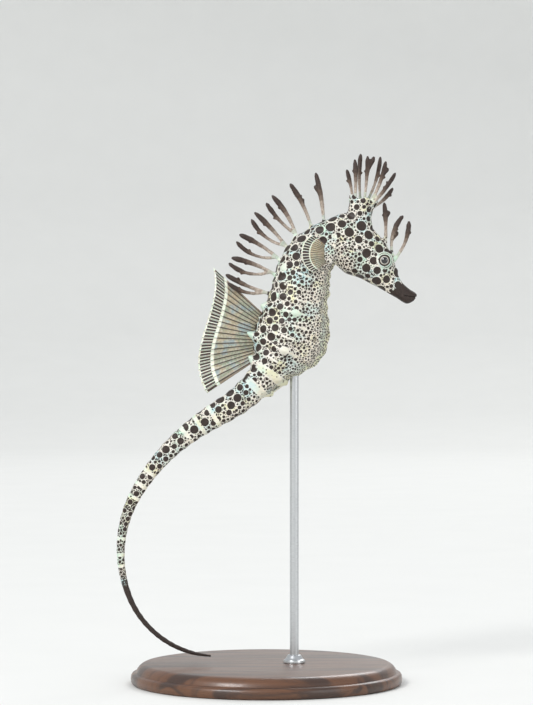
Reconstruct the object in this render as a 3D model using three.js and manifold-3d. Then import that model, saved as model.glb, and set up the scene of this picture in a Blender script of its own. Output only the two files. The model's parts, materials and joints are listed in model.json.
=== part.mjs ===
// A life-size long-snouted seahorse, swimming upright, on a turned display stand.
// Millimetres, +Z up. It faces +X, with its right side towards -Y.
// The origin is the middle of the underside of the stand's base.

import * as THREE from "three";
import * as BufferGeometryUtils from "three/addons/utils/BufferGeometryUtils.js";
import Module from "manifold-3d";

const wasm = await Module();
wasm.setup();

// Driving sizes

const GAP = 0.3;
const RADIANS = Math.PI / 180;

// The body's midline runs from the back of the head to the tip of the tail. It is a chain of arcs,
// each with its length and its turn in degrees.
const MIDLINE_START = { x: 16.9, z: 129.6, heading: -140 };
const MIDLINE_ARCS = [
  [14, 37],
  [11, 0],
  [34, -47],
  [10, 5],
  [26, 25],
  [32, 52],
  [32, 66],
];

// Bony rings: their ridges stand at equal steps on the trunk, and close up along the tail.
const TRUNK_RINGS = 11;
const TRUNK_PITCH = 3.8;
const TAIL_RINGS = 37;
const TAIL_FIRST_PITCH = 4.4;
const TAIL_LAST_PITCH = 1.9;
// Past this ring the ridges are too fine to show.
const PLAIN_RING = 34;
// Height of a ridge: a share of the body's depth there, up to a limit.
const RIDGE = 0.05;
const RIDGE_MOST = 0.35;

// Girth: a place along the midline, then the reach from it to the back, the belly and each side.
const GIRTH = [
  [0, 6.4, 6.2, 4.5],
  [6, 7.7, 7.3, 5.3],
  [12, 7.9, 8.7, 6.0],
  [18, 8.1, 9.2, 6.6],
  [25, 9.3, 11.2, 6.9],
  [31, 9.8, 12.6, 6.8],
  [37, 7.9, 8.8, 6.1],
  [43, 5.2, 5.2, 5.1],
  [52, 4.4, 4.4, 4.2],
  [62, 3.9, 3.9, 3.8],
  [80, 2.75, 2.75, 2.75],
  [96, 1.95, 1.95, 1.95],
  [110, 1.35, 1.35, 1.35],
  [130, 0.85, 0.85, 0.85],
  [150, 0.65, 0.65, 0.65],
  [158.5, 0.3, 0.3, 0.3],
];

// Angles round a ring run from the middle of the back (0) by the right side to the belly (180).
const TRUNK_ANGLES = [0, 40, 65, 90, 115, 140, 160, 180, 200, 220, 245, 270, 295, 320];
const TAIL_ANGLES = [0, 45, 90, 135, 180, 225, 270, 315];
const TRUNK_CORNERS = [40, 90, 140, 220, 270, 320];
const TAIL_CORNERS = [45, 135, 225, 315];
// How far a corner stands out of a ring, as a share of the body's depth.
const CORNER = 0.05;

// Knobs that stand out at a few rings: ring, angle from the back, height.
const KNOBS = [
  [1, 0, 0.7],
  [3, 40, 0.5],
  [6, 40, 1.3],
  [9, 40, 2.0],
  [11, 40, 1.3],
  [9, 90, 0.6],
  [11, 180, 1.0],
  [12, 180, 0.8],
];

// Cuts across the body, as ring numbers, and the name of the length that each one ends.
const LENGTHS = [
  ["neck", 3],
  ["chest", 6],
  ["belly", 9],
  ["hips", 11],
  ["tail_1", 15],
  ["tail_2", 19],
  ["tail_3", 24],
  ["tail_4", 29],
  ["tail_5", 34],
  ["tail_6", 41],
  ["tail_7", 48],
];

// The head's own frame: along the snout, and up through the crown.
const HEAD_PLACE = { x: 19.2, z: 127.8, tilt: -32 };
// Sections from the nape to the lips: upper edge [along, up], lower edge [along, up], half width.
const HEAD = [
  [-5.4, 7.4, 5.7, -3.6, 4.7],
  [-2.6, 11.4, 7.3, -3.8, 4.9],
  [2.4, 12.9, 9.2, -3.2, 5.0],
  [7.4, 11.8, 11.2, -2.7, 4.9],
  [11.2, 10.6, 14.2, -2.5, 4.5],
  [15.2, 8.7, 16.6, -2.2, 3.9],
  [18.1, 6.5, 18.4, -2.1, 3.0],
  [20.1, 4.5, 20.1, -2.1, 2.4],
  [22.2, 3.1, 22.0, -2.0, 2.1],
  [24.4, 2.5, 24.2, -1.9, 1.9],
  [26.6, 2.4, 26.4, -2.0, 2.0],
  [28.5, 2.6, 28.3, -0.4, 1.7],
];
const HEAD_SIDES = 12;
// The head is narrower at the crown than at the throat, by this share of its width each way.
const CROWN_NARROWING = 0.22;
// The snout starts past this row of the head; both are in row numbers, as is the gap between.
const SNOUT_START = 6.6;
const SNOUT_GAP = 0.14;
const HEAD_STEPS = 9;
const SNOUT_STEPS = 10;
const EYE = { along: 14.8, up: 5.4, out: 3.05, radius: 1.9 };
// Rounded swellings of the head, on both sides: round the eye, the gill cover and over the brow.
const PAIRED_SWELLINGS = [
  { along: EYE.along, up: EYE.up, out: 2.6, radii: [2.9, 2.0, 2.8] },
  { along: 5.4, up: 1.6, out: 2.7, radii: [4.6, 2.9, 3.9] },
  { along: 16.0, up: 7.4, out: 1.5, radii: [1.0, 0.9, 1.1] },
];
const CROWN_KNOB = { along: 11.6, up: 9.8, out: 0, radii: [1.2, 1.1, 1.2] };
// Lower jaw: its hinge, the slant of the mouth's slit above the snout, and a size to clear it.
const JAW = { along: 25.2, up: -0.2, slant: 26, size: 8 };

// Coronet: the foot of its column, its forward lean, its width for each unit of its length, and
// how far its corners and its foot spread.
const CORONET = {
  x: 26.8,
  z: 135.6,
  lean: 12,
  narrow: 0.78,
  sides: 15,
  corners: 5,
  cornerSpread: 0.1,
  footSpread: 0.18,
};
// Its outline, from the foot inside the head to the hollow of its top: radius, height.
const CORONET_PROFILE = [
  [0, -3],
  [4.1, -3],
  [3.9, 0.5],
  [3.55, 3.0],
  [3.6, 5.2],
  [3.9, 6.6],
  [3.4, 7.3],
  [2.2, 6.7],
  [0, 6.3],
];

// Fins: thickness of a ray, the web's share of it, and the share of a ray's length that the web
// reaches between two rays. A fin is thicker at its foot and thinner at its edge.
const FIN_THICK = 0.65;
const FIN_WEB = 0.85;
const FIN_SCALLOP = 0.985;
const FIN_FOOT = 1.25;
const FIN_EDGE = 0.95;
const DORSAL_RAYS = 19;
const PECTORAL_RAYS = 16;
const ANAL_RAYS = 4;
// Pectoral fin: the middle of its foot, half its foot's height, the length and lean of its longest
// ray, the fan's whole angle, half its height, and the share of length its outer rays keep.
const PECTORAL = {
  x: 17.6,
  z: 126.4,
  out: 4.2,
  foot: 3.3,
  length: 8.8,
  lean: 32,
  fan: 128,
  reach: 6.1,
  keep: 0.55,
};

// Stand: a turned base with a moulded edge, a collar on it, and a round rod.
const BASE_RADIUS = 40;
const BASE_HEIGHT = 6;
// Its edge, from the underside to the top: how far in from the radius, height.
const BASE_EDGE = [
  [0.8, 0],
  [0, 0.8],
  [0, 3],
  [1.6, 4],
  [3, BASE_HEIGHT],
];
const BASE_SIDES = 48;
const ROD = { x: 8.2, radius: 1.3, top: 93, sides: 16 };
const COLLAR = { radius: 3.2, rim: 1.4, top: 1.9, height: 2.4 };

// Solids

function toSolid(geometry) {
  const bare = geometry.clone();
  bare.deleteAttribute("normal");
  bare.deleteAttribute("uv");
  const merged = BufferGeometryUtils.mergeVertices(bare, 1e-4);
  const corners = merged.index.array;
  const kept = [];
  for (let i = 0; i < corners.length; i += 3) {
    const [a, b, c] = [corners[i], corners[i + 1], corners[i + 2]];
    if (a !== b && b !== c && c !== a) {
      kept.push(a, b, c);
    }
  }
  return new wasm.Manifold(
    new wasm.Mesh({
      numProp: 3,
      vertProperties: new Float32Array(merged.attributes.position.array),
      triVerts: new Uint32Array(kept),
    }),
  );
}

function toGeometry(solid) {
  const mesh = solid.getMesh();
  const geometry = new THREE.BufferGeometry();
  geometry.setAttribute("position", new THREE.BufferAttribute(mesh.vertProperties, 3));
  geometry.setIndex(new THREE.BufferAttribute(mesh.triVerts, 1));
  geometry.computeVertexNormals();
  return geometry;
}

// What is left of a piece outside the body it grows from: the largest bit, with no stray chips.
function outside(piece, body) {
  let solid = piece;
  for (const part of body) {
    solid = solid.subtract(part);
  }
  const bits = solid.decompose();
  bits.sort((one, other) => other.volume() - one.volume());
  return toGeometry(bits[0]);
}

// A closed skin over a row of sections: a unit cylinder, whose points go where pointAt says.
// reach is 1 on the skin and 0 at the middle of each end.
function loft(rows, sides, pointAt) {
  const geometry = new THREE.CylinderGeometry(1, 1, 1, sides, rows - 1);
  const position = geometry.attributes.position;
  for (let i = 0; i < position.count; i += 1) {
    const [x, y, z] = [position.getX(i), position.getY(i), position.getZ(i)];
    const row = Math.round((0.5 - y) * (rows - 1));
    const turn = Math.round((Math.atan2(x, z) / (2 * Math.PI)) * sides);
    const side = (turn + sides) % sides;
    const reach = Math.hypot(x, z) > 0.5 ? 1 : 0;
    const point = pointAt(row, side, reach);
    position.setXYZ(i, point.x, point.y, point.z);
  }
  return geometry;
}

// A smooth curve through one column of a table whose first column is the place.
function smooth(table, place, column) {
  const last = table.length - 1;
  let i = 0;
  while (i < last - 1 && table[i + 1][0] <= place) {
    i += 1;
  }
  const slope = (row) => {
    const before = table[Math.max(row - 1, 0)];
    const after = table[Math.min(row + 1, last)];
    return (after[column] - before[column]) / (after[0] - before[0]);
  };
  const span = table[i + 1][0] - table[i][0];
  const t = THREE.MathUtils.clamp((place - table[i][0]) / span, 0, 1);
  const rise = t * t * (3 - 2 * t);
  const start = t * (1 - t) * (1 - t) * span * slope(i);
  const end = t * t * (t - 1) * span * slope(i + 1);
  return table[i][column] + rise * (table[i + 1][column] - table[i][column]) + start + end;
}

// Body

function midlineAt(place) {
  let { x, z } = MIDLINE_START;
  let heading = MIDLINE_START.heading * RADIANS;
  let left = place;
  for (const [length, turn] of MIDLINE_ARCS) {
    const step = Math.min(left, length);
    const half = (turn * RADIANS * step) / length / 2;
    const chord = half === 0 ? step : (step * Math.sin(half)) / half;
    x += chord * Math.cos(heading + half);
    z += chord * Math.sin(heading + half);
    heading += 2 * half;
    left -= step;
    if (left <= 0) {
      break;
    }
  }
  return { x, z, heading };
}

function ringPlace(ring) {
  if (ring <= TRUNK_RINGS) {
    return ring * TRUNK_PITCH;
  }
  const tail = ring - TRUNK_RINGS;
  const closing = (TAIL_FIRST_PITCH - TAIL_LAST_PITCH) / (TAIL_RINGS - 1);
  return TRUNK_RINGS * TRUNK_PITCH + tail * TAIL_FIRST_PITCH - (closing * tail * (tail - 1)) / 2;
}

function fold(angle) {
  return angle > 180 ? 360 - angle : angle;
}

// A point of the skin at a ring number, which may be a fraction, and an angle.
function bodyPoint(place, ring, angle, corners, reach, grow) {
  const { x, z, heading } = midlineAt(place);
  const up = Math.cos(angle * RADIANS);
  const across = Math.sin(angle * RADIANS);
  const depth = smooth(GIRTH, place, up > 0 ? 1 : 2);
  const width = smooth(GIRTH, place, 3);
  const onRidge = Number.isInteger(ring) ? 1 : -1;
  const ridge = onRidge * Math.min(RIDGE * depth, RIDGE_MOST);
  const corner = corners.includes(angle) ? CORNER : -CORNER / 2;
  let out = grow + ridge + corner * depth;
  for (const [knobRing, knobAngle, height] of KNOBS) {
    if (knobRing === ring && knobAngle === fold(angle)) {
      out += height;
    }
  }
  const rise = reach * up * (depth + out);
  const aside = reach * across * (width + out);
  return new THREE.Vector3(
    x + rise * Math.sin(heading),
    -aside,
    z - rise * Math.cos(heading),
  );
}

function bodyLength(fromRing, toRing, grow) {
  const angles = fromRing >= TRUNK_RINGS ? TAIL_ANGLES : TRUNK_ANGLES;
  const corners = fromRing >= TRUNK_RINGS ? TAIL_CORNERS : TRUNK_CORNERS;
  const perRing = fromRing < PLAIN_RING ? 2 : 1;
  const rows = perRing * (toRing - fromRing) + 1;
  const first = ringPlace(fromRing) + GAP / 2 - grow;
  const last = ringPlace(toRing) - GAP / 2 + grow;
  return loft(rows, angles.length, (row, side, reach) => {
    const ring = fromRing + row / perRing;
    const place = THREE.MathUtils.clamp(ringPlace(ring), first, last);
    return bodyPoint(place, ring, angles[side], corners, reach, grow);
  });
}

// Head

function headPlace(along, up, out) {
  const tilt = HEAD_PLACE.tilt * RADIANS;
  return new THREE.Vector3(
    HEAD_PLACE.x + along * Math.cos(tilt) - up * Math.sin(tilt),
    out,
    HEAD_PLACE.z + along * Math.sin(tilt) + up * Math.cos(tilt),
  );
}

// The nape's own section is the neck's first one, seen from the head.
function napeRow() {
  const first = -GAP / 2;
  const back = bodyPoint(first, 0, 0, TRUNK_CORNERS, 1, 0);
  const front = bodyPoint(first, 0, 180, TRUNK_CORNERS, 1, 0);
  const tilt = HEAD_PLACE.tilt * RADIANS;
  const local = (point) => {
    const [dx, dz] = [point.x - HEAD_PLACE.x, point.z - HEAD_PLACE.z];
    return [dx * Math.cos(tilt) + dz * Math.sin(tilt), dz * Math.cos(tilt) - dx * Math.sin(tilt)];
  };
  return [...local(back), ...local(front), smooth(GIRTH, 0, 3)];
}

const HEAD_ROWS = [napeRow(), ...HEAD].map((row, number) => [number, ...row]);

function headLoft(from, to, steps, grow) {
  return loft(steps + 1, HEAD_SIDES, (row, side, reach) => {
    const number = from + ((to - from) * row) / steps;
    const [topAlong, topUp, lowAlong, lowUp, half] = [1, 2, 3, 4, 5].map((column) =>
      smooth(HEAD_ROWS, number, column),
    );
    const depth = Math.hypot(topAlong - lowAlong, topUp - lowUp) / 2;
    const angle = (side / HEAD_SIDES) * 2 * Math.PI;
    const rise = reach * Math.cos(angle) * (1 + grow / depth);
    const narrowing = 1 - CROWN_NARROWING * Math.cos(angle);
    const aside = reach * Math.sin(angle) * narrowing * (half + grow);
    return headPlace(
      (topAlong + lowAlong) / 2 + (rise * (topAlong - lowAlong)) / 2,
      (topUp + lowUp) / 2 + (rise * (topUp - lowUp)) / 2,
      aside,
    );
  });
}

// A rounded swelling of the head: a flattened ball, on the side that side says, 1 or -1.
function swelling({ along, up, out, radii }, side, grow) {
  const ball = new THREE.SphereGeometry(1, 8, 6);
  ball.rotateX(Math.PI / 2);
  ball.scale(radii[0] + grow, radii[1] + grow, radii[2] + grow);
  ball.rotateY(-HEAD_PLACE.tilt * RADIANS);
  const middle = headPlace(along, up, side * out);
  ball.translate(middle.x, middle.y, middle.z);
  return toSolid(ball);
}

function headSolid(grow) {
  let head = toSolid(headLoft(0, SNOUT_START, HEAD_STEPS, grow));
  for (const shape of PAIRED_SWELLINGS) {
    head = head.add(swelling(shape, 1, grow)).add(swelling(shape, -1, grow));
  }
  return head.add(swelling(CROWN_KNOB, 1, grow));
}

function eyeBall(side, grow) {
  const ball = new THREE.SphereGeometry(EYE.radius + grow, 12, 8);
  ball.rotateX(Math.PI / 2);
  const middle = headPlace(EYE.along, EYE.up, side * EYE.out);
  ball.translate(middle.x, middle.y, middle.z);
  return ball;
}

function buildHead() {
  let head = headSolid(0);
  for (const side of [1, -1]) {
    head = head.subtract(toSolid(eyeBall(side, GAP)));
  }
  return toGeometry(head);
}

// The space below the mouth's slit, at the end of the snout, for the lower jaw.
function jawSpace(grow) {
  const block = new THREE.BoxGeometry(JAW.size, JAW.size, JAW.size);
  block.translate(JAW.size / 2 - grow, 0, -JAW.size / 2 + grow);
  block.rotateY(-(HEAD_PLACE.tilt + JAW.slant) * RADIANS);
  const hinge = headPlace(JAW.along, JAW.up, 0);
  block.translate(hinge.x, hinge.y, hinge.z);
  return toSolid(block);
}

function snoutSolid() {
  return toSolid(headLoft(SNOUT_START + SNOUT_GAP, HEAD_ROWS.length - 1, SNOUT_STEPS, 0));
}

// Coronet: a short column on the crown, with five blunt corners round a hollow top.
function coronetColumn(grow) {
  const points = CORONET_PROFILE.map(
    ([radius, height]) => new THREE.Vector2(radius && radius + grow, height + grow),
  );
  const column = new THREE.LatheGeometry(points, CORONET.sides);
  const position = column.attributes.position;
  for (let i = 0; i < position.count; i += 1) {
    const [x, y, z] = [position.getX(i), position.getY(i), position.getZ(i)];
    const corner = Math.cos(CORONET.corners * Math.atan2(z, x));
    const nearRim = THREE.MathUtils.smoothstep(y, 3, 6.6);
    const nearFoot = THREE.MathUtils.smoothstep(-y, -3, 0);
    const flare = 1 + CORONET.cornerSpread * corner * nearRim;
    const foot = 1 + CORONET.footSpread * nearFoot;
    position.setXYZ(i, x * flare * foot, y, z * flare * CORONET.narrow);
  }
  column.rotateX(Math.PI / 2);
  column.rotateY(CORONET.lean * RADIANS);
  column.translate(CORONET.x, 0, CORONET.z);
  return toSolid(column);
}

// Skin fronds

// Radius along a frond, from its root to its rounded tip, as shares of its length.
const FROND_SHAPE = [
  [0, 1.0],
  [0.12, 1.1],
  [0.58, 1.0],
  [0.78, 1.45],
  [0.92, 1.5],
  [1, 0.6],
];
const FROND_SIDES = 5;
const ROOT_FLARE = 1.6;
// A twig's thickness, as a share of its frond's.
const TWIG = 0.9;

// A frond's middle line, from one [x, z, y] to another, bowed within the middle plane.
function frondStem(start, end, bow) {
  const root = new THREE.Vector3(start[0], start[2], start[1]);
  const tip = new THREE.Vector3(end[0], end[2], end[1]);
  const across = new THREE.Vector3(end[1] - start[1], 0, start[0] - end[0]);
  const middle = root.clone().lerp(tip, 0.5).addScaledVector(across, 2 * bow);
  return new THREE.QuadraticBezierCurve3(root, middle, tip);
}

function frondRod(stem, radius, flare) {
  const left = new THREE.Vector3(0, 1, 0);
  return loft(FROND_SHAPE.length, FROND_SIDES, (row, side, reach) => {
    const [share, width] = FROND_SHAPE[row];
    const along = stem.getTangent(share);
    const above = new THREE.Vector3().crossVectors(left, along).normalize();
    const beside = new THREE.Vector3().crossVectors(above, along);
    const angle = (side / FROND_SIDES) * 2 * Math.PI;
    const out = reach * radius * (row === 0 ? flare : width);
    return stem
      .getPoint(share)
      .addScaledVector(above, out * Math.cos(angle))
      .addScaledVector(beside, out * Math.sin(angle));
  });
}

// One frond: root and tip in the middle plane, sideways bow as a share of its length, the root's
// place aside and how far the tip splays, both to the left, and perhaps twigs. A twig leaves the
// stem at a share of its length.
function buildFrond({ root, tip, bow, aside, splay, twigs = [] }, radius, body) {
  const stem = frondStem([...root, aside], [...tip, aside + splay], bow);
  let solid = toSolid(frondRod(stem, radius, ROOT_FLARE));
  for (const twig of twigs) {
    const fork = stem.getPoint(twig.share);
    const start = [fork.x, fork.z, fork.y];
    const end = [...twig.tip, fork.y + twig.splay];
    const rod = frondRod(frondStem(start, end, twig.bow), radius * TWIG, 1);
    solid = solid.add(toSolid(rod));
  }
  return outside(solid, body);
}

const FRONDS = {
  crown: {
    radius: 0.55,
    list: [
      { root: [25.6, 141.0], tip: [23.7, 151.6], bow: 0.03, aside: 0.8, splay: 0.8 },
      { root: [26.1, 141.0], tip: [26.2, 154.4], bow: -0.02, aside: -1.0, splay: -0.9 },
      {
        root: [27.0, 141.0],
        tip: [27.9, 156.3],
        bow: -0.02,
        aside: 0.9,
        splay: 1.2,
        twigs: [{ share: 0.55, tip: [29.1, 153.0], bow: 0, splay: 0.9 }],
      },
      {
        root: [28.6, 141.0],
        tip: [29.8, 155.5],
        bow: 0.02,
        aside: -0.5,
        splay: -0.3,
        twigs: [{ share: 0.6, tip: [31.7, 155.2], bow: 0, splay: -0.9 }],
      },
      { root: [29.0, 141.0], tip: [33.7, 155.5], bow: 0.06, aside: 1.2, splay: 0.8 },
      {
        root: [30.2, 141.0],
        tip: [35.1, 153.8],
        bow: 0.05,
        aside: -1.2,
        splay: -1.2,
        twigs: [{ share: 0.62, tip: [35.8, 151.8], bow: 0, splay: -0.6 }],
      },
      { root: [30.2, 141.0], tip: [38.2, 150.7], bow: 0.05, aside: 0.9, splay: 1.4 },
      { root: [30.2, 138.8], tip: [36.6, 148.2], bow: 0.04, aside: -1.2, splay: -0.9 },
      {
        root: [30.4, 138.6],
        tip: [37.4, 146.2],
        bow: 0.08,
        aside: 0.8,
        splay: 0.5,
        twigs: [{ share: 0.62, tip: [36.9, 144.3], bow: 0, splay: 0.3 }],
      },
    ],
  },
  brow: {
    radius: 0.42,
    list: [
      {
        root: [34.9, 127.8],
        tip: [34.7, 141.8],
        bow: 0.03,
        aside: 0,
        splay: 0.4,
        twigs: [{ share: 0.62, tip: [36.1, 139.4], bow: 0, splay: 0.5 }],
      },
      {
        root: [37.4, 125.2],
        tip: [40.5, 138.1],
        bow: -0.13,
        aside: 1.2,
        splay: 1.4,
        twigs: [{ share: 0.36, tip: [38.8, 133.3], bow: 0, splay: 1.0 }],
      },
      { root: [37.2, 124.4], tip: [41.9, 136.2], bow: 0.1, aside: -1.2, splay: -1.6 },
    ],
  },
  mane: {
    radius: 0.52,
    list: [
      {
        root: [17.0, 133.6],
        tip: [14.5, 150.6],
        bow: 0.03,
        aside: 0,
        splay: 0.5,
        twigs: [{ share: 0.55, tip: [14.4, 146.9], bow: 0, splay: 0.5 }],
      },
      {
        root: [13.8, 132.4],
        tip: [6.9, 147.3],
        bow: 0.05,
        aside: 0,
        splay: -0.8,
        twigs: [{ share: 0.5, tip: [10.4, 143.0], bow: 0, splay: 0.6 }],
      },
      {
        root: [9.4, 129.9],
        tip: [1.5, 144.0],
        bow: 0.07,
        aside: 0,
        splay: 1.4,
        twigs: [{ share: 0.14, tip: [-0.1, 141.6], bow: -0.05, splay: -1.7 }],
      },
      {
        root: [7.2, 127.0],
        tip: [-3.6, 138.8],
        bow: 0.03,
        aside: 0,
        splay: -1.5,
        twigs: [{ share: 0.14, tip: [-4.5, 137.0], bow: -0.12, splay: 2.0 }],
      },
      {
        root: [5.0, 123.8],
        tip: [-8.1, 132.4],
        bow: 0.05,
        aside: 0,
        splay: 1.6,
        twigs: [{ share: 0.16, tip: [-8.9, 130.2], bow: -0.14, splay: -2.0 }],
      },
      {
        root: [4.0, 119.6],
        tip: [-10.4, 125.4],
        bow: 0.05,
        aside: 0,
        splay: -1.6,
        twigs: [{ share: 0.2, tip: [-11.2, 123.9], bow: -0.17, splay: 2.1 }],
      },
      {
        root: [3.0, 114.4],
        tip: [-12.1, 120.9],
        bow: 0.02,
        aside: 0,
        splay: 1.5,
        twigs: [{ share: 0.2, tip: [-11.6, 118.4], bow: -0.14, splay: -1.9 }],
      },
    ],
  },
};

// Fins

// A fin: a box of many strips, laid between its foot and its outer edge. Rays are thicker than
// the web between them, and end in small scallops.
function finPlate(rays, rows, foot, edge) {
  const geometry = new THREE.BoxGeometry(1, 1, 1, 2 * rays, rows, 1);
  const position = geometry.attributes.position;
  for (let i = 0; i < position.count; i += 1) {
    const strip = Math.round((position.getX(i) + 0.5) * 2 * rays);
    const out = position.getY(i) + 0.5;
    const onRay = strip % 2;
    const inner = foot(strip / (2 * rays));
    const outer = edge(strip / (2 * rays));
    const reach = onRay ? out : out * FIN_SCALLOP;
    const taper = THREE.MathUtils.lerp(FIN_FOOT, FIN_EDGE, out);
    const width = FIN_THICK * (onRay ? 1 : FIN_WEB) * taper;
    const point = inner.clone().lerp(outer, reach);
    position.setXYZ(i, point.x, point.y + position.getZ(i) * width, point.z);
  }
  return geometry;
}

function flat(x, z) {
  return new THREE.Vector3(x, 0, z);
}

function onCurve(curve) {
  return (share) => curve.getPoint(share);
}

function buildDorsalFin(body) {
  const foot = new THREE.QuadraticBezierCurve3(
    flat(0.6, 107.6),
    flat(-1.8, 101.5),
    flat(-1.2, 96.4),
  );
  const edge = new THREE.CubicBezierCurve3(
    flat(-15.8, 122.7),
    flat(-12.6, 109.5),
    flat(-25.6, 98.0),
    flat(-17.6, 85.4),
  );
  return outside(toSolid(finPlate(DORSAL_RAYS, 2, onCurve(foot), onCurve(edge))), body);
}

function buildPectoralFin(side, body) {
  const { x, z, out, length, keep } = PECTORAL;
  const lean = PECTORAL.lean * RADIANS;
  const foot = (share) =>
    new THREE.Vector3(x, side * out, z + PECTORAL.foot * (1 - 2 * share));
  const edge = (share) => {
    const fan = (share - 0.5) * PECTORAL.fan * RADIANS;
    const back = length * (keep + (1 - keep) * Math.cos(fan));
    return new THREE.Vector3(
      x - back * Math.cos(lean),
      side * (out + back * Math.sin(lean)),
      z - PECTORAL.reach * Math.sin(fan),
    );
  };
  return outside(toSolid(finPlate(PECTORAL_RAYS, 1, foot, edge)), body);
}

function buildAnalFin(body) {
  const foot = new THREE.LineCurve3(flat(0.8, 89.4), flat(3.8, 91.6));
  const edge = new THREE.LineCurve3(flat(2.2, 85.6), flat(4.9, 87.6));
  return outside(toSolid(finPlate(ANAL_RAYS, 1, onCurve(foot), onCurve(edge))), body);
}

// Stand

function lathe(profile, sides) {
  const points = profile.map(([radius, height]) => new THREE.Vector2(radius, height));
  const geometry = new THREE.LatheGeometry(points, sides);
  geometry.rotateX(Math.PI / 2);
  return geometry;
}

function buildBase() {
  const edge = BASE_EDGE.map(([inset, height]) => [BASE_RADIUS - inset, height]);
  return lathe([[0, 0], ...edge, [0, BASE_HEIGHT]], BASE_SIDES);
}

function buildCollar() {
  const collar = lathe(
    [
      [0, BASE_HEIGHT],
      [COLLAR.radius, BASE_HEIGHT],
      [COLLAR.radius, BASE_HEIGHT + COLLAR.rim],
      [COLLAR.top, BASE_HEIGHT + COLLAR.height],
      [0, BASE_HEIGHT + COLLAR.height],
    ],
    ROD.sides,
  );
  return collar.translate(ROD.x, 0, 0);
}

// The rod stands on the collar, and its top is cut to the body that it holds.
function buildRod(body) {
  const foot = BASE_HEIGHT + COLLAR.height;
  const rod = lathe(
    [
      [0, foot],
      [ROD.radius, foot],
      [ROD.radius, ROD.top],
      [0, ROD.top],
    ],
    ROD.sides,
  );
  rod.translate(ROD.x, 0, 0);
  return outside(toSolid(rod), body);
}

// Scene graph

const FINISHES = {
  skin: { color: 0xd9d6c6, roughness: 0.6, metalness: 0 },
  snout: { color: 0x4a3b35, roughness: 0.55, metalness: 0 },
  frond: { color: 0x8a7462, roughness: 0.65, metalness: 0 },
  fin: { color: 0xbfb59d, roughness: 0.5, metalness: 0 },
  eye: { color: 0x15110f, roughness: 0.1, metalness: 0 },
  wood: { color: 0x3c2618, roughness: 0.4, metalness: 0 },
  steel: { color: 0xb8bbbd, roughness: 0.3, metalness: 1 },
};

const seahorse = new THREE.Group();
const animal = new THREE.Group();
const stand = new THREE.Group();
seahorse.add(animal, stand);

function place(group, name, geometry, finish) {
  const mesh = new THREE.Mesh(geometry, new THREE.MeshStandardMaterial(FINISHES[finish]));
  mesh.name = name;
  group.add(mesh);
}

// Solids a gap larger than the body's, which cut back the pieces that grow from it.

const cutters = { head: headSolid(GAP) };
let firstRing = 0;
for (const [name, lastRing] of LENGTHS) {
  place(animal, name, bodyLength(firstRing, lastRing, 0), "skin");
  cutters[name] = toSolid(bodyLength(firstRing, lastRing, GAP));
  firstRing = lastRing;
}
const upperBody = [cutters.head, cutters.neck, cutters.chest];
const coronetCutter = coronetColumn(GAP);
const lowerBody = [cutters.chest, cutters.belly, cutters.hips, cutters.tail_1];

place(animal, "head", buildHead(), "skin");
place(animal, "snout", outside(snoutSolid(), [jawSpace(GAP)]), "snout");
place(animal, "jaw", outside(snoutSolid().intersect(jawSpace(0)), []), "snout");
place(animal, "coronet", outside(coronetColumn(0), [cutters.head]), "skin");
place(animal, "eye_l", eyeBall(1, 0), "eye");
place(animal, "eye_r", eyeBall(-1, 0), "eye");

for (const [kind, { radius, list }] of Object.entries(FRONDS)) {
  list.forEach((frond, number) => {
    const growsFrom = kind === "crown" ? [coronetCutter, cutters.head] : upperBody;
    place(animal, `${kind}_frond_${number + 1}`, buildFrond(frond, radius, growsFrom), "frond");
  });
}

place(animal, "dorsal_fin", buildDorsalFin(lowerBody), "fin");
place(animal, "pectoral_fin_l", buildPectoralFin(1, upperBody), "fin");
place(animal, "pectoral_fin_r", buildPectoralFin(-1, upperBody), "fin");
place(animal, "anal_fin", buildAnalFin(lowerBody), "fin");

place(stand, "stand_base", buildBase(), "wood");
place(stand, "stand_collar", buildCollar(), "steel");
place(stand, "stand_rod", buildRod(lowerBody), "steel");

export default seahorse;
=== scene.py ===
# %% [markdown]
# # A long-snouted seahorse, life size, on a display stand
# The animal is about 170 mm long with its tail straight. Its skin lies tight over bony rings, and
# soft fronds grow from its crown, its brow and the back of its neck. This script keeps the solid
# model as a fixed frame and builds what shows: one skin, two eyes, four fins and a turned stand.

# %% Load the frame and keep its box
import json
import math
import random

import bmesh
import bpy
from mathutils import Matrix, Vector
from mathutils.kdtree import KDTree

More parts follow.
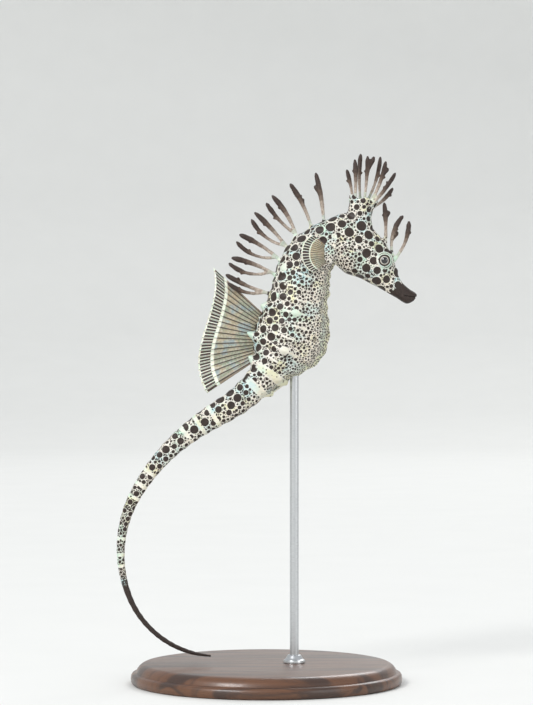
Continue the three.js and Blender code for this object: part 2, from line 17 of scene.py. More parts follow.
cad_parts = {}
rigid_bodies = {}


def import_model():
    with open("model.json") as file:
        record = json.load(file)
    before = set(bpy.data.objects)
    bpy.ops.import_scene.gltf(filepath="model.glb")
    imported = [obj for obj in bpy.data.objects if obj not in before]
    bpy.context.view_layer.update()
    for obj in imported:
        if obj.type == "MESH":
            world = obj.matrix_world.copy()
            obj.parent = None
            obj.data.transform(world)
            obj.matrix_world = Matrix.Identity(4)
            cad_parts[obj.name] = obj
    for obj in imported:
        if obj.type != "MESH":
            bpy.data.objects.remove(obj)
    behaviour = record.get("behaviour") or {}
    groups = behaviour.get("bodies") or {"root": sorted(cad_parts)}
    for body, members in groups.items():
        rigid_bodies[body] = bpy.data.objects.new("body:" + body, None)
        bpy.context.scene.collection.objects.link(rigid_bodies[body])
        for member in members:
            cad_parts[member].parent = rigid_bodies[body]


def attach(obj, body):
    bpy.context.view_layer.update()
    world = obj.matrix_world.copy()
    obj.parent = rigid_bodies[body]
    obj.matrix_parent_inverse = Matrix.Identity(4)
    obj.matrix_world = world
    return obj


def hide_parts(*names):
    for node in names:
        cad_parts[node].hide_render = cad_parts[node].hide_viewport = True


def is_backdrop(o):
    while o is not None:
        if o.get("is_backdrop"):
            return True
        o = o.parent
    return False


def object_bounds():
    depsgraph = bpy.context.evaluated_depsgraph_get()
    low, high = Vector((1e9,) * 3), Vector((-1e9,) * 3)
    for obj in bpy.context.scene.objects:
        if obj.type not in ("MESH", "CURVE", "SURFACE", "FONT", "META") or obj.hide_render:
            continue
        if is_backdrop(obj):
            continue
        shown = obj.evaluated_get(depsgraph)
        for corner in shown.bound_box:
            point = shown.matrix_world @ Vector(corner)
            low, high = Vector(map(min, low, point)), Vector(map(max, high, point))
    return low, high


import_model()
cad_low, cad_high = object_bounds()
scene = bpy.context.scene
MM = 0.001


def metres(*lengths):
    """Lengths or a place in metres, from millimetres."""
    return tuple(v * MM for v in lengths)


def in_mm(*lengths):
    return [round(v / MM, 1) for v in lengths]


print("solid model, mm:", in_mm(*cad_low, *cad_high))

# %% [markdown]
# ## Camera
# A seahorse is flat from side to side, so it is seen square from its right side. A long lens from
# more than three quarters of a metre, level with the middle of the animal, keeps the outline true.

# %% Camera
LENS = 135.0
FILM = 36.0
FRAME_HEIGHT = 208 * MM
FRAME_MIDDLE = 97.5 * MM

camera_data = bpy.data.cameras.new("camera")
camera_data.lens = LENS
camera_data.sensor_width = FILM
camera = bpy.data.objects.new("camera", camera_data)
scene.collection.objects.link(camera)
scene.camera = camera
distance = FRAME_HEIGHT * LENS / FILM
camera.location = (0, -distance, FRAME_MIDDLE)
camera.rotation_euler = (math.pi / 2, 0, 0)
print("camera distance, m:", round(distance, 3))

# %% [markdown]
# ## Working by hand in a script
# An operator acts on everything that is selected, and the loaded nodes are. So each piece starts
# with nothing selected, and points are picked by a test on their place.

# %% Helpers for edit mode
def leave_edit():
    if bpy.context.object and bpy.context.object.mode != "OBJECT":
        bpy.ops.object.mode_set(mode="OBJECT")


def select_only(*pieces):
    leave_edit()
    bpy.ops.object.select_all(action="DESELECT")
    for piece in pieces:
        piece.select_set(True)
    bpy.context.view_layer.objects.active = pieces[-1] if pieces else None


def edit(piece):
    select_only(piece)
    bpy.ops.object.mode_set(mode="EDIT")
    bpy.ops.mesh.select_mode(type="VERT")


def pick(piece, test):
    """In edit mode, selects the points that pass the test."""
    mesh = bmesh.from_edit_mesh(piece.data)
    mesh.verts.index_update()
    for point in mesh.verts:
        point.select = bool(test(point))
    mesh.select_flush_mode()
    bmesh.update_edit_mesh(piece.data)


def pick_all():
    bpy.ops.mesh.select_all(action="SELECT")


def resize(factors, about=(0, 0, 0)):
    """Scales what is picked away from a place."""
    bpy.ops.transform.resize(value=factors, center_override=about)


def face_out():
    """Turns every face outwards, and leaves edit mode."""
    pick_all()
    bpy.ops.mesh.normals_make_consistent(inside=False)
    leave_edit()

# %% Helpers for whole pieces
def apply_modifier(piece, kind, **settings):
    select_only(piece)
    modifier = piece.modifiers.new(kind.lower(), kind)
    for name, value in settings.items():
        setattr(modifier, name, value)
    bpy.ops.object.modifier_apply(modifier=modifier.name)


def settle(piece, matrix=None):
    """Puts a piece where the matrix says, with its place in its mesh."""
    select_only(piece)
    if matrix is not None:
        piece.matrix_world = matrix @ piece.matrix_world
    bpy.ops.object.transform_apply(location=True, rotation=True, scale=True)


def add(name, kind, **settings):
    """Adds a primitive, and puts its place in its mesh."""
    select_only()
    getattr(bpy.ops.mesh, f"primitive_{kind}_add")(**settings)
    piece = bpy.context.object
    piece.name = name
    settle(piece)
    return piece


def ball(name, at, radii, rings=16, turn=(0, 0, 0)):
    """A closed, stretched ball: place and radii in millimetres."""
    return add(name, "uv_sphere", segments=2 * rings, ring_count=rings, radius=MM, rotation=turn,
               location=metres(*at), scale=radii)


def join(name, *pieces):
    select_only(*pieces)
    bpy.ops.object.join()
    piece = bpy.context.object
    piece.name = name
    return piece


def carve(piece, tool, operation="DIFFERENCE"):
    """Takes a tool's shape out of a piece, or adds it, and throws the tool away."""
    apply_modifier(piece, "BOOLEAN", object=tool, operation=operation, solver="EXACT")
    bpy.data.objects.remove(tool)


select_only()

# %% [markdown]
# ## Sizes of the body
# The body's midline is a chain of arcs from the back of the head to the tip of the tail. The
# girth is a short table: how far the back, the belly and the sides stand from that line. A smooth
# curve through the table gives every place between. Eleven bony rings stand at even steps along
# the trunk, and thirty-seven more close up along the tail.

# %% Midline, girth and rings, in millimetres
MIDLINE_START = (16.9, 129.6)
MIDLINE_HEADING = -140
MIDLINE_ARCS = [(14, 37), (11, 0), (34, -47), (10, 5), (26, 25), (32, 52), (32, 66)]
GIRTH = [
    (0, 6.4, 6.2, 4.5), (6, 7.7, 7.3, 5.3), (12, 7.9, 8.7, 6.0), (18, 8.1, 9.2, 6.6),
    (25, 9.3, 11.5, 6.9), (29, 9.8, 12.3, 6.9), (33, 9.3, 11.7, 6.6), (37, 7.9, 8.9, 6.1),
    (43, 5.2, 5.2, 5.1),
    (52, 4.4, 4.4, 4.2), (62, 3.9, 3.9, 3.8), (80, 2.75, 2.75, 2.75), (96, 1.95, 1.95, 1.95),
    (110, 1.35, 1.35, 1.35), (130, 0.85, 0.85, 0.85), (150, 0.65, 0.65, 0.65),
    (158.5, 0.3, 0.3, 0.3),
]
TRUNK_RINGS, TRUNK_PITCH = 11, 3.8
TAIL_RINGS, FIRST_PITCH, LAST_PITCH = 37, 4.4, 1.9
LAST_RING = TRUNK_RINGS + TAIL_RINGS


def smooth(table, place, column=1):
    """A smooth curve through one column of a table whose first column is the place."""
    last = len(table) - 1
    i = 0
    while i < last - 1 and table[i + 1][0] <= place:
        i += 1

    def slope(row):
        before, after = table[max(row - 1, 0)], table[min(row + 1, last)]
        return (after[column] - before[column]) / (after[0] - before[0])

    span = table[i + 1][0] - table[i][0]
    t = min(max((place - table[i][0]) / span, 0), 1)
    rise = t * t * (3 - 2 * t) * (table[i + 1][column] - table[i][column])
    start = t * (1 - t) ** 2 * span * slope(i)
    end = t * t * (t - 1) * span * slope(i + 1)
    return table[i][column] + rise + start + end


def blend(value, low, high):
    """0 up to low, 1 from high, and a smooth rise between."""
    t = min(max((value - low) / (high - low), 0), 1)
    return t * t * (3 - 2 * t)


def ring_place(ring):
    if ring <= TRUNK_RINGS:
        return ring * TRUNK_PITCH
    tail = ring - TRUNK_RINGS
    closing = (FIRST_PITCH - LAST_PITCH) / (TAIL_RINGS - 1)
    return TRUNK_RINGS * TRUNK_PITCH + tail * FIRST_PITCH - closing * tail * (tail - 1) / 2


def midline_points(step):
    """Points along the chain of arcs, about a step apart."""
    x, z = MIDLINE_START
    heading = math.radians(MIDLINE_HEADING)
    found = [(x, z)]
    for length, turn in MIDLINE_ARCS:
        count = round(length / step)
        half = math.radians(turn) / count / 2
        for _ in range(count):
            heading += half
            x += length / count * math.cos(heading)
            z += length / count * math.sin(heading)
            heading += half
            found.append((x, z))
    return found


MIDLINE = midline_points(0.5)
print("midline points:", len(MIDLINE), "; the last ring is at", round(ring_place(LAST_RING), 2), "mm")

# %% [markdown]
# ## The body, straight
# The body is modelled straight, as a turner would: a circle is extruded station by station, and
# each new loop is resized to the girth there. Loops on a ring's crest are a little larger and
# loops between rings a little smaller, which gives the bony rings. Modelling it straight keeps
# each ring square to the body, so a ridge can be picked by a plain test. The back points to -Y
# and the belly to +Y for now.

# %% Extrude the straight body
BODY_SIDES = 32
LOOPS = 4
RING_RELIEF = (0.045, 0.0, -0.045, 0.0)
RELIEF_MOST = 0.28
ALONG_X = (0, math.pi / 2, 0)


def extrude(step):
    bpy.ops.mesh.extrude_region_move(TRANSFORM_OT_translate={"value": step})


def extrude_along(stations):
    """Extrudes what is picked from station to station, and resizes each new loop. A station is
    its middle and its sizes along the axes, in metres."""
    for (middle, sizes), (new_middle, new_sizes) in zip(stations, stations[1:]):
        extrude([new - old for new, old in zip(new_middle, middle)])
        resize([new / old for new, old in zip(new_sizes, sizes)], new_middle)


def body_station(loop):
    """Middle and sizes of a loop of the straight body."""
    place = ring_place(loop / LOOPS)
    back, belly, side = (smooth(GIRTH, place, column) for column in (1, 2, 3))
    depth = (back + belly) / 2
    grow = max(-RELIEF_MOST, min(RELIEF_MOST, RING_RELIEF[loop % LOOPS] * depth))
    return metres(place, (belly - back) / 2, 0), (1, *metres(depth + grow, side + grow))


stations = [body_station(loop) for loop in range(LOOPS * LAST_RING + 1)]
middle, (_, depth, half) = stations[0]
body = add("body", "circle", vertices=BODY_SIDES, radius=depth, location=middle, rotation=ALONG_X)
edit(body)
pick_all()
resize((1, 1, half / depth), middle)
extrude_along(stations)
bpy.ops.mesh.edge_face_add()
pick(body, lambda point: point.co.x < 0.1 * MM)
bpy.ops.mesh.edge_face_add()
face_out()
print("straight body:", len(body.data.vertices), "points")

# %% [markdown]
# ## Ridges and knobs
# A seahorse has no scales: bony plates lie under the skin, and they meet in long ridges. The
# trunk has seven, and the tail four, so the trunk is seven-sided and the tail square. One column
# of points at a time is scaled away from the axis, which is how a modeller pulls out a corner.
# Each ridge has a small knob on each ring, no two quite the same, and a few knobs stand out.

# %% Pull out the ridges
HIPS, TAIL = 40.5, 45.0
COLUMN = 360 / BODY_SIDES


def back_angle(x, y, z):
    """Degrees round the straight body from the middle of its back, at a place in millimetres."""
    back, belly, side = (smooth(GIRTH, x, column) for column in (1, 2, 3))
    up = ((belly - back) / 2 - y) / ((back + belly) / 2)
    return math.degrees(math.atan2(abs(z) / side, up))


def trunk_relief(angle):
    return -0.015 if angle < 30 else 0.038 * math.cos(math.radians(8 * angle))


def tail_relief(angle):
    return -0.085 * math.cos(math.radians(4 * angle))


def scale_out(factor):
    """Scales what is picked away from the straight body's axis."""
    resize((1, factor, factor))


places = [point.co.x / MM for point in body.data.vertices]
angles = [back_angle(*(v / MM for v in point.co)) for point in body.data.vertices]
edit(body)
for column in range(BODY_SIDES // 2 + 1):
    angle = column * COLUMN
    trunk, tail = trunk_relief(angle), tail_relief(angle)
    for low, high, relief in ((-1, HIPS, trunk), (HIPS, TAIL, (trunk + tail) / 2), (TAIL, 200, tail)):
        pick(body, lambda point: low < places[point.index] <= high
             and abs(angles[point.index] - angle) < COLUMN / 2)
        scale_out(1 + relief)

# %% Raise the knobs
random.seed(7)
TRUNK_RIDGES, TAIL_RIDGES = (45, 90, 135, 180), (45, 135)
# Knobs that stand out: ring, degrees from the back, height and reach in millimetres.
KNOBS = [
    (1, 0, 0.7, 1.6), (3, 45, 0.5, 1.5), (6, 22.5, 1.5, 1.9), (9, 22.5, 2.6, 2.1), (11, 22.5, 1.7, 1.8),
    (9, 90, 0.7, 1.6), (6, 90, 0.4, 1.4), (11, 180, 1.3, 1.7), (12, 180, 1.5, 1.6), (4, 180, 0.5, 1.5),
]


def raise_knob(ring, angle, height, reach):
    """Scales out a wide patch, and then its middle, at a ring and an angle."""
    place = ring_place(ring)
    radius = smooth(GIRTH, place, 1 if angle < 90 else 2 if angle > 90 else 3)
    for width, share in ((1.0, 0.45), (0.55, 0.6), (0.2, 0.5)):
        pick(body, lambda point: math.hypot(
            places[point.index] - place,
            math.radians(angles[point.index] - angle) * radius) < width * reach)
        scale_out(1 + share * height / radius)


for ring in range(1, LAST_RING - 1):
    for ridge in TRUNK_RIDGES if ring <= TRUNK_RINGS else TAIL_RIDGES:
        depth = smooth(GIRTH, ring_place(ring), 1)
        tall = random.uniform(0.03, 0.065) * depth
        raise_knob(ring, ridge, tall * (1 if ridge != 180 else 0.1), 0.5 + 0.09 * depth)
for ring, angle, height, reach in KNOBS:
    raise_knob(ring, angle, height, reach)
leave_edit()
apply_modifier(body, "SUBSURF", levels=2, render_levels=2)
print("ridged body:", len(body.data.vertices), "points")

# %% [markdown]
# ## Marks on the skin
# The skin's colours follow the body: dark spots shrink towards the belly, pale bands cross the
# tail, and the tail grows dusky towards its dark tip. It is easiest to say so while the body is
# straight. Each point gets five numbers: flank runs from the back (0) to the belly (1); pale is
# bare cream skin; dark is plain brown skin; stalk is beige skin with no spots; room is the radius
# of the largest spot that fits there, in millimetres. They go with the points from here on.

# %% Mark the straight body
MARKS = ("flank", "pale", "dark", "stalk", "room")
# Pale bands that cross the body: place, half width and strength.
BANDS = [
    (42.0, 1.3, 0.85), (47.6, 1.15, 0.85), (62.5, 0.6, 1), (67.5, 0.6, 1), (72.3, 0.6, 1),
    (87.9, 0.55, 1), (92.4, 0.55, 1), (96.6, 0.5, 1), (109.4, 0.5, 1), (114.2, 0.5, 1), (117.4, 0.45, 1),
]
# Pale bars on the flank, along a ring: ring, and the angles from the back between which they lie.
FLANK_BARS = [
    (3, 70, 115), (4, 48, 92), (5, 82, 128), (6, 55, 112), (7, 72, 120), (8, 50, 104), (9, 66, 124),
    (10, 58, 110),
]
FLANK_BAR_PALE, FLANK_BAR_EDGES = 0.6, (0.15, 0.65)
TAIL_TIP = (116, 130)
# The tail grows dusky before its tip: where that begins and ends, and how far it goes.
TAIL_DUSK, DUSK_MOST = (76, 108), 0.25
# The largest spot's radius by the angle from the back, and its largest share of the girth.
ROOM = [(0, 1.45), (30, 1.45), (52, 1.3), (75, 0.85), (100, 0.56), (130, 0.42), (180, 0.34)]
TAIL_ROOM_SPREAD = 0.35
ROOM_SHARE = 0.46


def store(piece, name, values):
    """Keeps one number for each point of a piece."""
    piece.data.attributes.new(name, "FLOAT", "POINT").data.foreach_set("value", values)


def mark(piece, **marks):
    """Gives each point its marks: numbers, or functions of its place in millimetres."""
    for name, value in marks.items():
        store(piece, name, [value(*(point.co / MM)) if callable(value) else value
                            for point in piece.data.vertices])


def body_pale(x, y, z):
    """Bands, the bare tops of the knobs, and the bars on the flank."""
    angle = back_angle(x, y, z)
    found = max(share * (1 - blend(abs(x - at), half * 0.7, half * 1.3)) for at, half, share in BANDS)
    if x < TAIL + 5:
        found *= blend(angle, 25, 75)
    for ring, knob_angle, height, reach in KNOBS:
        aside = math.radians(angle - knob_angle) * smooth(GIRTH, x, 1)
        found = max(found, 1 - blend(math.hypot(x - ring_place(ring), aside), reach * 0.5, reach))
    for ring, low, high in FLANK_BARS:
        window = blend(angle, low, low + 12) * (1 - blend(angle, high - 12, high))
        on_bar = 1 - blend(abs(x - ring_place(ring)), *FLANK_BAR_EDGES)
        found = max(found, FLANK_BAR_PALE * window * on_bar)
    return found


def body_room(x, y, z):
    spread = 1 - TAIL_ROOM_SPREAD * blend(x, TAIL, TAIL + 12)
    return min(smooth(ROOM, back_angle(x, y, z) * spread), ROOM_SHARE * smooth(GIRTH, x, 3))


mark(
    body, flank=lambda *at: back_angle(*at) / 180, pale=body_pale, stalk=0.0, room=body_room,
    dark=lambda x, y, z: max(blend(x, *TAIL_TIP), DUSK_MOST * blend(x, *TAIL_DUSK)),
)
print("marked", MARKS)

# %% [markdown]
# ## Bend the body
# The midline is drawn as a curve, and a Curve modifier bends the straight body along it, as a
# straight wax is bent over a drawing. Both lie flat on the bench, and then the body is stood up.

# %% Bend the body and stand it up
path = bpy.data.curves.new("midline", "CURVE")
path.dimensions = "2D"
spline = path.splines.new("POLY")
spline.points.add(len(MIDLINE) - 1)
for knot, (x, z) in zip(spline.points, MIDLINE):
    knot.co = (x * MM, z * MM, 0, 1)
midline = bpy.data.objects.new("midline", path)
scene.collection.objects.link(midline)
apply_modifier(body, "CURVE", object=midline, deform_axis="POS_X")
bpy.data.objects.remove(midline)
settle(body, Matrix.Rotation(math.pi / 2, 4, "X"))
print("bent body, mm:", in_mm(*body.dimensions))

# %% [markdown]
# ## The head
# The head is modelled along its own axis, with the snout to +X and the crown up, and is then
# tilted into place. Again a circle is extruded from the nape to the lips. Its upper edge, lower
# edge and half width are three short tables.

# %% Extrude the head
HEAD_TILT = math.radians(-32)
HEAD_PLACE = Matrix.Translation(metres(19.2, 0, 127.8)) @ Matrix.Rotation(-HEAD_TILT, 4, "Y")
UPPER_EDGE = [
    (-9.0, 2.4), (-7.2, 5.0), (-5.4, 7.5), (-4.0, 9.7), (-2.6, 11.3), (0, 12.5), (2.4, 12.8),
    (5.0, 12.4), (7.4, 11.7), (11.2, 10.5), (15.2, 8.6), (18.1, 6.4), (20.1, 4.5), (22.2, 3.1),
    (24.4, 2.5), (26.6, 2.35), (28.5, 2.5),
]
LOWER_EDGE = [
    (-9.0, 1.0), (-5.4, -1.0), (-2.6, -1.6), (0, -2.0), (3.0, -3.0), (5.7, -3.6), (7.3, -3.8),
    (9.2, -3.3), (11.2, -2.7), (14.2, -2.5), (16.6, -2.2), (18.4, -2.1), (22.0, -2.0),
    (24.2, -1.9), (26.4, -2.0), (27.6, -1.6), (28.5, -0.5),
]
HALF_WIDTH = [
    (-9.0, 2.4), (-7.2, 3.9), (-5.4, 4.5), (-2.6, 4.9), (2.4, 5.0), (7.4, 4.8), (11.2, 4.3),
    (15.2, 3.8), (18.1, 2.9), (20.1, 2.3), (22.2, 2.0), (24.4, 1.85), (26.6, 1.95), (28.5, 1.6),
]
HEAD_STATIONS = [
    -8.8, -8.0, -7.0, -6.0, -5.0, -4.0, -3.0, -2.0, -0.8, 0.6, 2.0, 3.4, 4.8, 6.2, 7.6, 9.0, 10.4, 11.7,
    13.0, 14.2, 15.4, 16.5, 17.5, 18.5, 19.4, 20.3, 21.2, 22.2, 23.2, 24.2, 25.2, 26.2, 27.1, 27.8,
    28.3, 28.6,
]
HEAD_SIDES = 32
CROWN_NARROWING = 0.2


def head_station(along):
    """Middle and sizes of a loop of the head."""
    upper, lower = smooth(UPPER_EDGE, along), smooth(LOWER_EDGE, along)
    round_end = math.sqrt(1 - blend(along, 27.2, 29.0) ** 2 * 0.75)
    depth, half = (upper - lower) / 2 * round_end, smooth(HALF_WIDTH, along) * round_end
    return metres(along, 0, (upper + lower) / 2), (1, *metres(half, depth))


def crown_angle(point):
    """Degrees round the head from the middle of its crown."""
    (_, _, middle), (_, half, depth) = head_station(point.x / MM)
    return math.degrees(math.atan2(abs(point.y) / half, (point.z - middle) / depth))


stations = [head_station(along) for along in HEAD_STATIONS]
middle, (_, half, depth) = stations[0]
head = add("head_skin", "circle", vertices=HEAD_SIDES, radius=depth, fill_type="NGON",
           location=middle, rotation=ALONG_X)
edit(head)
pick_all()
resize((1, half / depth, 1), middle)
extrude_along(stations)
face_out()
crown_angles = [crown_angle(point.co) for point in head.data.vertices]
edit(head)
for column in range(HEAD_SIDES // 2 + 1):
    angle = column * 360 / HEAD_SIDES
    pick(head, lambda point: abs(crown_angles[point.index] - angle) < 180 / HEAD_SIDES)
    resize((1, 1 - CROWN_NARROWING * math.cos(math.radians(angle)), 1))
leave_edit()
apply_modifier(head, "SUBSURF", levels=2, render_levels=2)
print("head:", len(head.data.vertices), "points")

# %% [markdown]
# ## Model the head's plates
# The skull shows through the skin: the eyes stand in raised sockets, the gill covers bulge, and
# there are blunt spines over the eyes, on the cheeks and in front of the crown. Each is pulled
# out of the head with a soft falloff, as with proportional editing by hand, on both sides alike.

# %% Pull out and press in
EYE_ALONG, EYE_UP, EYE_OUT, EYE_RADIUS = 14.8, 5.4, 3.05, 1.9
# Place on the right side (along, up, out), the pull in millimetres, and its reach.
PULLS = [
    ((14.8, 5.4, 3.6), (0.0, 0.1, 0.9), 3.4),
    ((5.6, 1.4, 4.8), (0.0, -0.1, 1.0), 4.6),
    ((3.4, 2.2, 4.9), (0.0, 0.0, 0.4), 3.0),
    ((9.9, 4.2, 4.2), (0.0, 0.0, -0.55), 2.6),
    ((18.6, 2.2, 2.6), (0.0, 0.0, -0.35), 2.4),
    ((-0.6, 4.0, 4.8), (0.0, 0.0, -0.5), 2.4),
    ((2.6, 8.6, 4.0), (0.0, 0.0, -0.35), 3.0),
    ((15.4, 8.1, 1.5), (0.2, 0.9, 0.3), 1.6),
    ((10.6, -1.2, 3.6), (0.1, -0.3, 0.5), 1.9),
    ((12.6, 2.0, 4.0), (0.0, 0.0, 0.35), 1.6),
    ((6.0, -2.6, 3.2), (0.0, -0.3, 0.35), 1.9),
    ((1.2, 10.6, 2.6), (0.0, 0.2, 0.4), 1.8),
    ((19.4, 4.9, 0.0), (0.2, 0.35, 0.0), 1.2),
    ((11.6, 10.3, 0.0), (0.2, 0.9, 0.0), 1.6),
]

# The slit behind each gill cover: an arc round its middle, pressed in.
GILL_MIDDLE, GILL_RADII, GILL_OUT = (5.6, 1.6), (4.4, 3.7), 4.6
for angle in range(96, 240, 9):
    along = GILL_MIDDLE[0] + GILL_RADII[0] * math.cos(math.radians(angle))
    up = GILL_MIDDLE[1] + GILL_RADII[1] * math.sin(math.radians(angle))
    PULLS.append(((along, up, GILL_OUT), (0.0, 0.0, -0.3), 0.9))


def pull(piece, at, by, reach):
    """Moves the point nearest to a place, and its neighbours with it as far as reach."""
    spot = Vector(at)
    nearest = min(piece.data.vertices, key=lambda point: (point.co - spot).length).index
    edit(piece)
    pick(piece, lambda point: point.index == nearest)
    bpy.ops.transform.translate(
        value=by, use_proportional_edit=True, proportional_edit_falloff="SMOOTH", proportional_size=reach
    )
    leave_edit()


for (along, up, out), (forward, rise, aside), reach in PULLS:
    for side in (1, -1) if out else (1,):
        at, by = metres(along, side * out, up), metres(forward, side * aside, rise)
        pull(head, at, by, reach * MM)
print("head, mm:", in_mm(*head.dimensions))

# %% [markdown]
# ## Lids
# A ring of loose skin, like a chameleon's, closes round each eye and turns with it. It is a folded
# ring on a low turret, and both grow into the head when the skin is wrapped.

# %% Add the lids and their turrets
LID_RADIUS, LID_THICK, LID_SINK = 1.7, 0.42, 0.2
LID_COLUMNS, LID_FOLD, FOLD_SIZE = 48, 3, 0.965
TURRET_OUT, TURRET_RADII = 2.35, (2.75, 2.4, 2.7)

lids = []
lid_out = EYE_OUT + math.sqrt(EYE_RADIUS**2 - (LID_RADIUS - LID_SINK) ** 2)
for side in (1, -1):
    lid = add("lid", "torus", major_radius=LID_RADIUS * MM, minor_radius=LID_THICK * MM,
              major_segments=LID_COLUMNS, minor_segments=12, rotation=(math.pi / 2, 0, 0),
              location=metres(EYE_ALONG, side * lid_out, EYE_UP))
    edit(lid)
    pick(lid, lambda point: round(math.atan2(point.co.z - EYE_UP * MM, point.co.x - EYE_ALONG * MM)
                                  * LID_COLUMNS / (2 * math.pi)) % LID_FOLD == 0)
    resize((FOLD_SIZE, 1, FOLD_SIZE), metres(EYE_ALONG, 0, EYE_UP))
    leave_edit()
    lids += [lid, ball("turret", (EYE_ALONG, side * TURRET_OUT, EYE_UP), TURRET_RADII)]
head = join("head_skin", *lids, head)

# %% Mark the head
SNOUT_DARK, SNOUT_SLOPE, SNOUT_FADE = 21.4, 0.42, 1.2
# Bare bony spots beside the gill cover: along, up, radius.
BONY_SPOTS = [(-1.5, 3.6, 0.8), (-0.1, 1.0, 0.7), (2.8, -3.2, 0.9), (3.4, -0.2, 0.6)]
# The cheek carries small spots only, and so does the skin round the nostrils: the middle
# (along, up) of each, and how far it reaches.
CHEEK, CHEEK_REACH = (3.4, 0.6), (4.2, 7.2)
NOSE, NOSE_REACH = (17.8, 5.6), (0.5, 2.6)


def head_pale(x, y, z):
    return max(1 - blend(math.hypot(x - along, z - up), radius * 0.7, radius * 1.3)
               for along, up, radius in BONY_SPOTS)


def head_flank(x, y, z):
    upper, lower = smooth(UPPER_EDGE, x), smooth(LOWER_EDGE, x)
    return min(max((upper - z) / (upper - lower), 0), 1) * 0.8


def head_room(x, y, z):
    off_cheek = blend(math.hypot(x - CHEEK[0], z - CHEEK[1]), *CHEEK_REACH)
    off_nose = blend(math.hypot(x - NOSE[0], z - NOSE[1]), *NOSE_REACH)
    depth = smooth(UPPER_EDGE, x) - smooth(LOWER_EDGE, x)
    return min(0.5 + 1.05 * off_cheek, 0.3 * depth, 0.45 + 0.95 * off_nose)


mark(
    head, flank=head_flank, pale=head_pale, stalk=0.0, room=head_room,
    dark=lambda x, y, z: blend(x - z * SNOUT_SLOPE, SNOUT_DARK, SNOUT_DARK + SNOUT_FADE),
)
settle(head, HEAD_PLACE)
print("head with lids:", len(head.data.vertices), "points")

# %% [markdown]
# ## The coronet
# The coronet is a little crown of bone on top of the head. It is turned like a cup, and then five
# of the columns of its rim are pulled out into blunt corners. It leans forward.

# %% Turn the coronet
CORONET_SIDES = 40
CORONET_CORNERS = 5
CORONET_LEAN = math.radians(12)
CORONET_NARROW, CORONET_FOOT = 0.78, 1.18
# Where the corners are pulled out: from which height, by how much, and how far up.
CORNER_PULLS = [(2.5, 1.05, 0.1), (4.8, 1.07, 0.2), (6.0, 1.07, 0.3)]
CORONET_PROFILE = [
    (4.3, -3.0), (4.1, -1.0), (3.9, 0.5), (3.7, 1.8), (3.55, 3.0), (3.5, 4.2), (3.6, 5.3),
    (3.85, 6.3), (3.95, 6.9), (3.7, 7.3), (3.2, 7.35), (2.7, 7.0), (2.2, 6.5), (1.2, 6.2), (0.3, 6.1),
]


def turned(name, profile, sides, x=0):
    """A turned piece: a disc extruded upwards, and resized at each radius and height of its profile."""
    radius, height = profile[0]
    piece = add(name, "circle", vertices=sides, radius=radius * MM, fill_type="NGON",
                location=metres(x, 0, height))
    edit(piece)
    pick_all()
    for new_radius, new_height in profile[1:]:
        extrude((0, 0, (new_height - height) * MM))
        resize((new_radius / radius, new_radius / radius, 1), metres(x, 0, 0))
        radius, height = new_radius, new_height
    face_out()
    return piece


coronet = turned("coronet_skin", CORONET_PROFILE, CORONET_SIDES)
edit(coronet)
for low, factor, lift in CORNER_PULLS:
    pick(coronet, lambda point: point.co.z > low * MM and point.co.xy.length > 2.6 * MM
         and math.cos(CORONET_CORNERS * math.atan2(point.co.y, point.co.x)) > 0.6)
    resize((factor, factor, 1))
    bpy.ops.transform.translate(value=(0, 0, lift * MM))
pick(coronet, lambda point: point.co.z < 1.0 * MM)
resize((CORONET_FOOT, 1, 1))
pick_all()
resize((1, CORONET_NARROW, 1))
leave_edit()
apply_modifier(coronet, "SUBSURF", levels=1, render_levels=1)
settle(coronet, Matrix.Translation(metres(26.8, 0, 135.6)) @ Matrix.Rotation(CORONET_LEAN, 4, "Y"))
mark(coronet, flank=0.1, pale=0.0, dark=0.0, stalk=0.0, room=0.9)
print("coronet:", len(coronet.data.vertices), "points")

# %% [markdown]
# ## Skin fronds
# The fronds are soft threads of skin, which hide the animal among weed. Each is drawn as a curve
# with a round bevel: wide at its root, thin along its stalk, and clubbed at its tip. A twig forks
# off most of them. A curve's radius can be set at each of its points, which suits a thread better
# than pushing faces about.

# %% Draw the fronds
# Root and tip (x, z), bow, the root's place aside, the tip's splay, and a twig: the share of
# the frond where it leaves, its tip (x, z), bow and splay.
CROWN_FRONDS = [
    ((25.6, 141.0), (23.7, 151.6), 0.03, 0.8, 0.8, None),
    ((26.0, 141.0), (26.0, 154.4), 0.02, -1.0, -0.9, None),
    ((27.9, 141.0), (27.9, 156.3), -0.03, 0.9, 1.2, None),
    ((28.6, 141.0), (29.8, 155.5), 0.02, -0.5, -0.3, (0.6, (31.7, 155.2), 0, -0.9)),
    ((29.0, 141.0), (33.7, 155.5), 0.06, 1.2, 0.8, None),
    ((30.2, 141.0), (35.1, 153.8), 0.05, -1.2, -1.2, (0.62, (35.8, 151.8), 0, -0.6)),
    ((30.2, 141.0), (38.2, 150.7), 0.05, 0.9, 1.4, None),
    ((30.0, 140.2), (36.6, 148.2), 0.04, -1.3, -0.9, None),
    ((30.0, 139.6), (37.4, 146.2), 0.08, 1.0, 0.5, (0.66, (36.9, 144.3), 0, 0.3)),
]
BROW_FRONDS = [
    ((34.9, 127.8), (34.7, 141.8), 0.03, 0, 0.4, (0.62, (36.1, 139.4), 0, 0.5)),
    ((37.4, 125.2), (40.5, 138.1), -0.13, 1.2, 1.4, (0.36, (38.8, 133.3), 0, 1.0)),
    ((37.2, 124.4), (41.9, 136.2), 0.1, -1.2, -1.6, None),
]
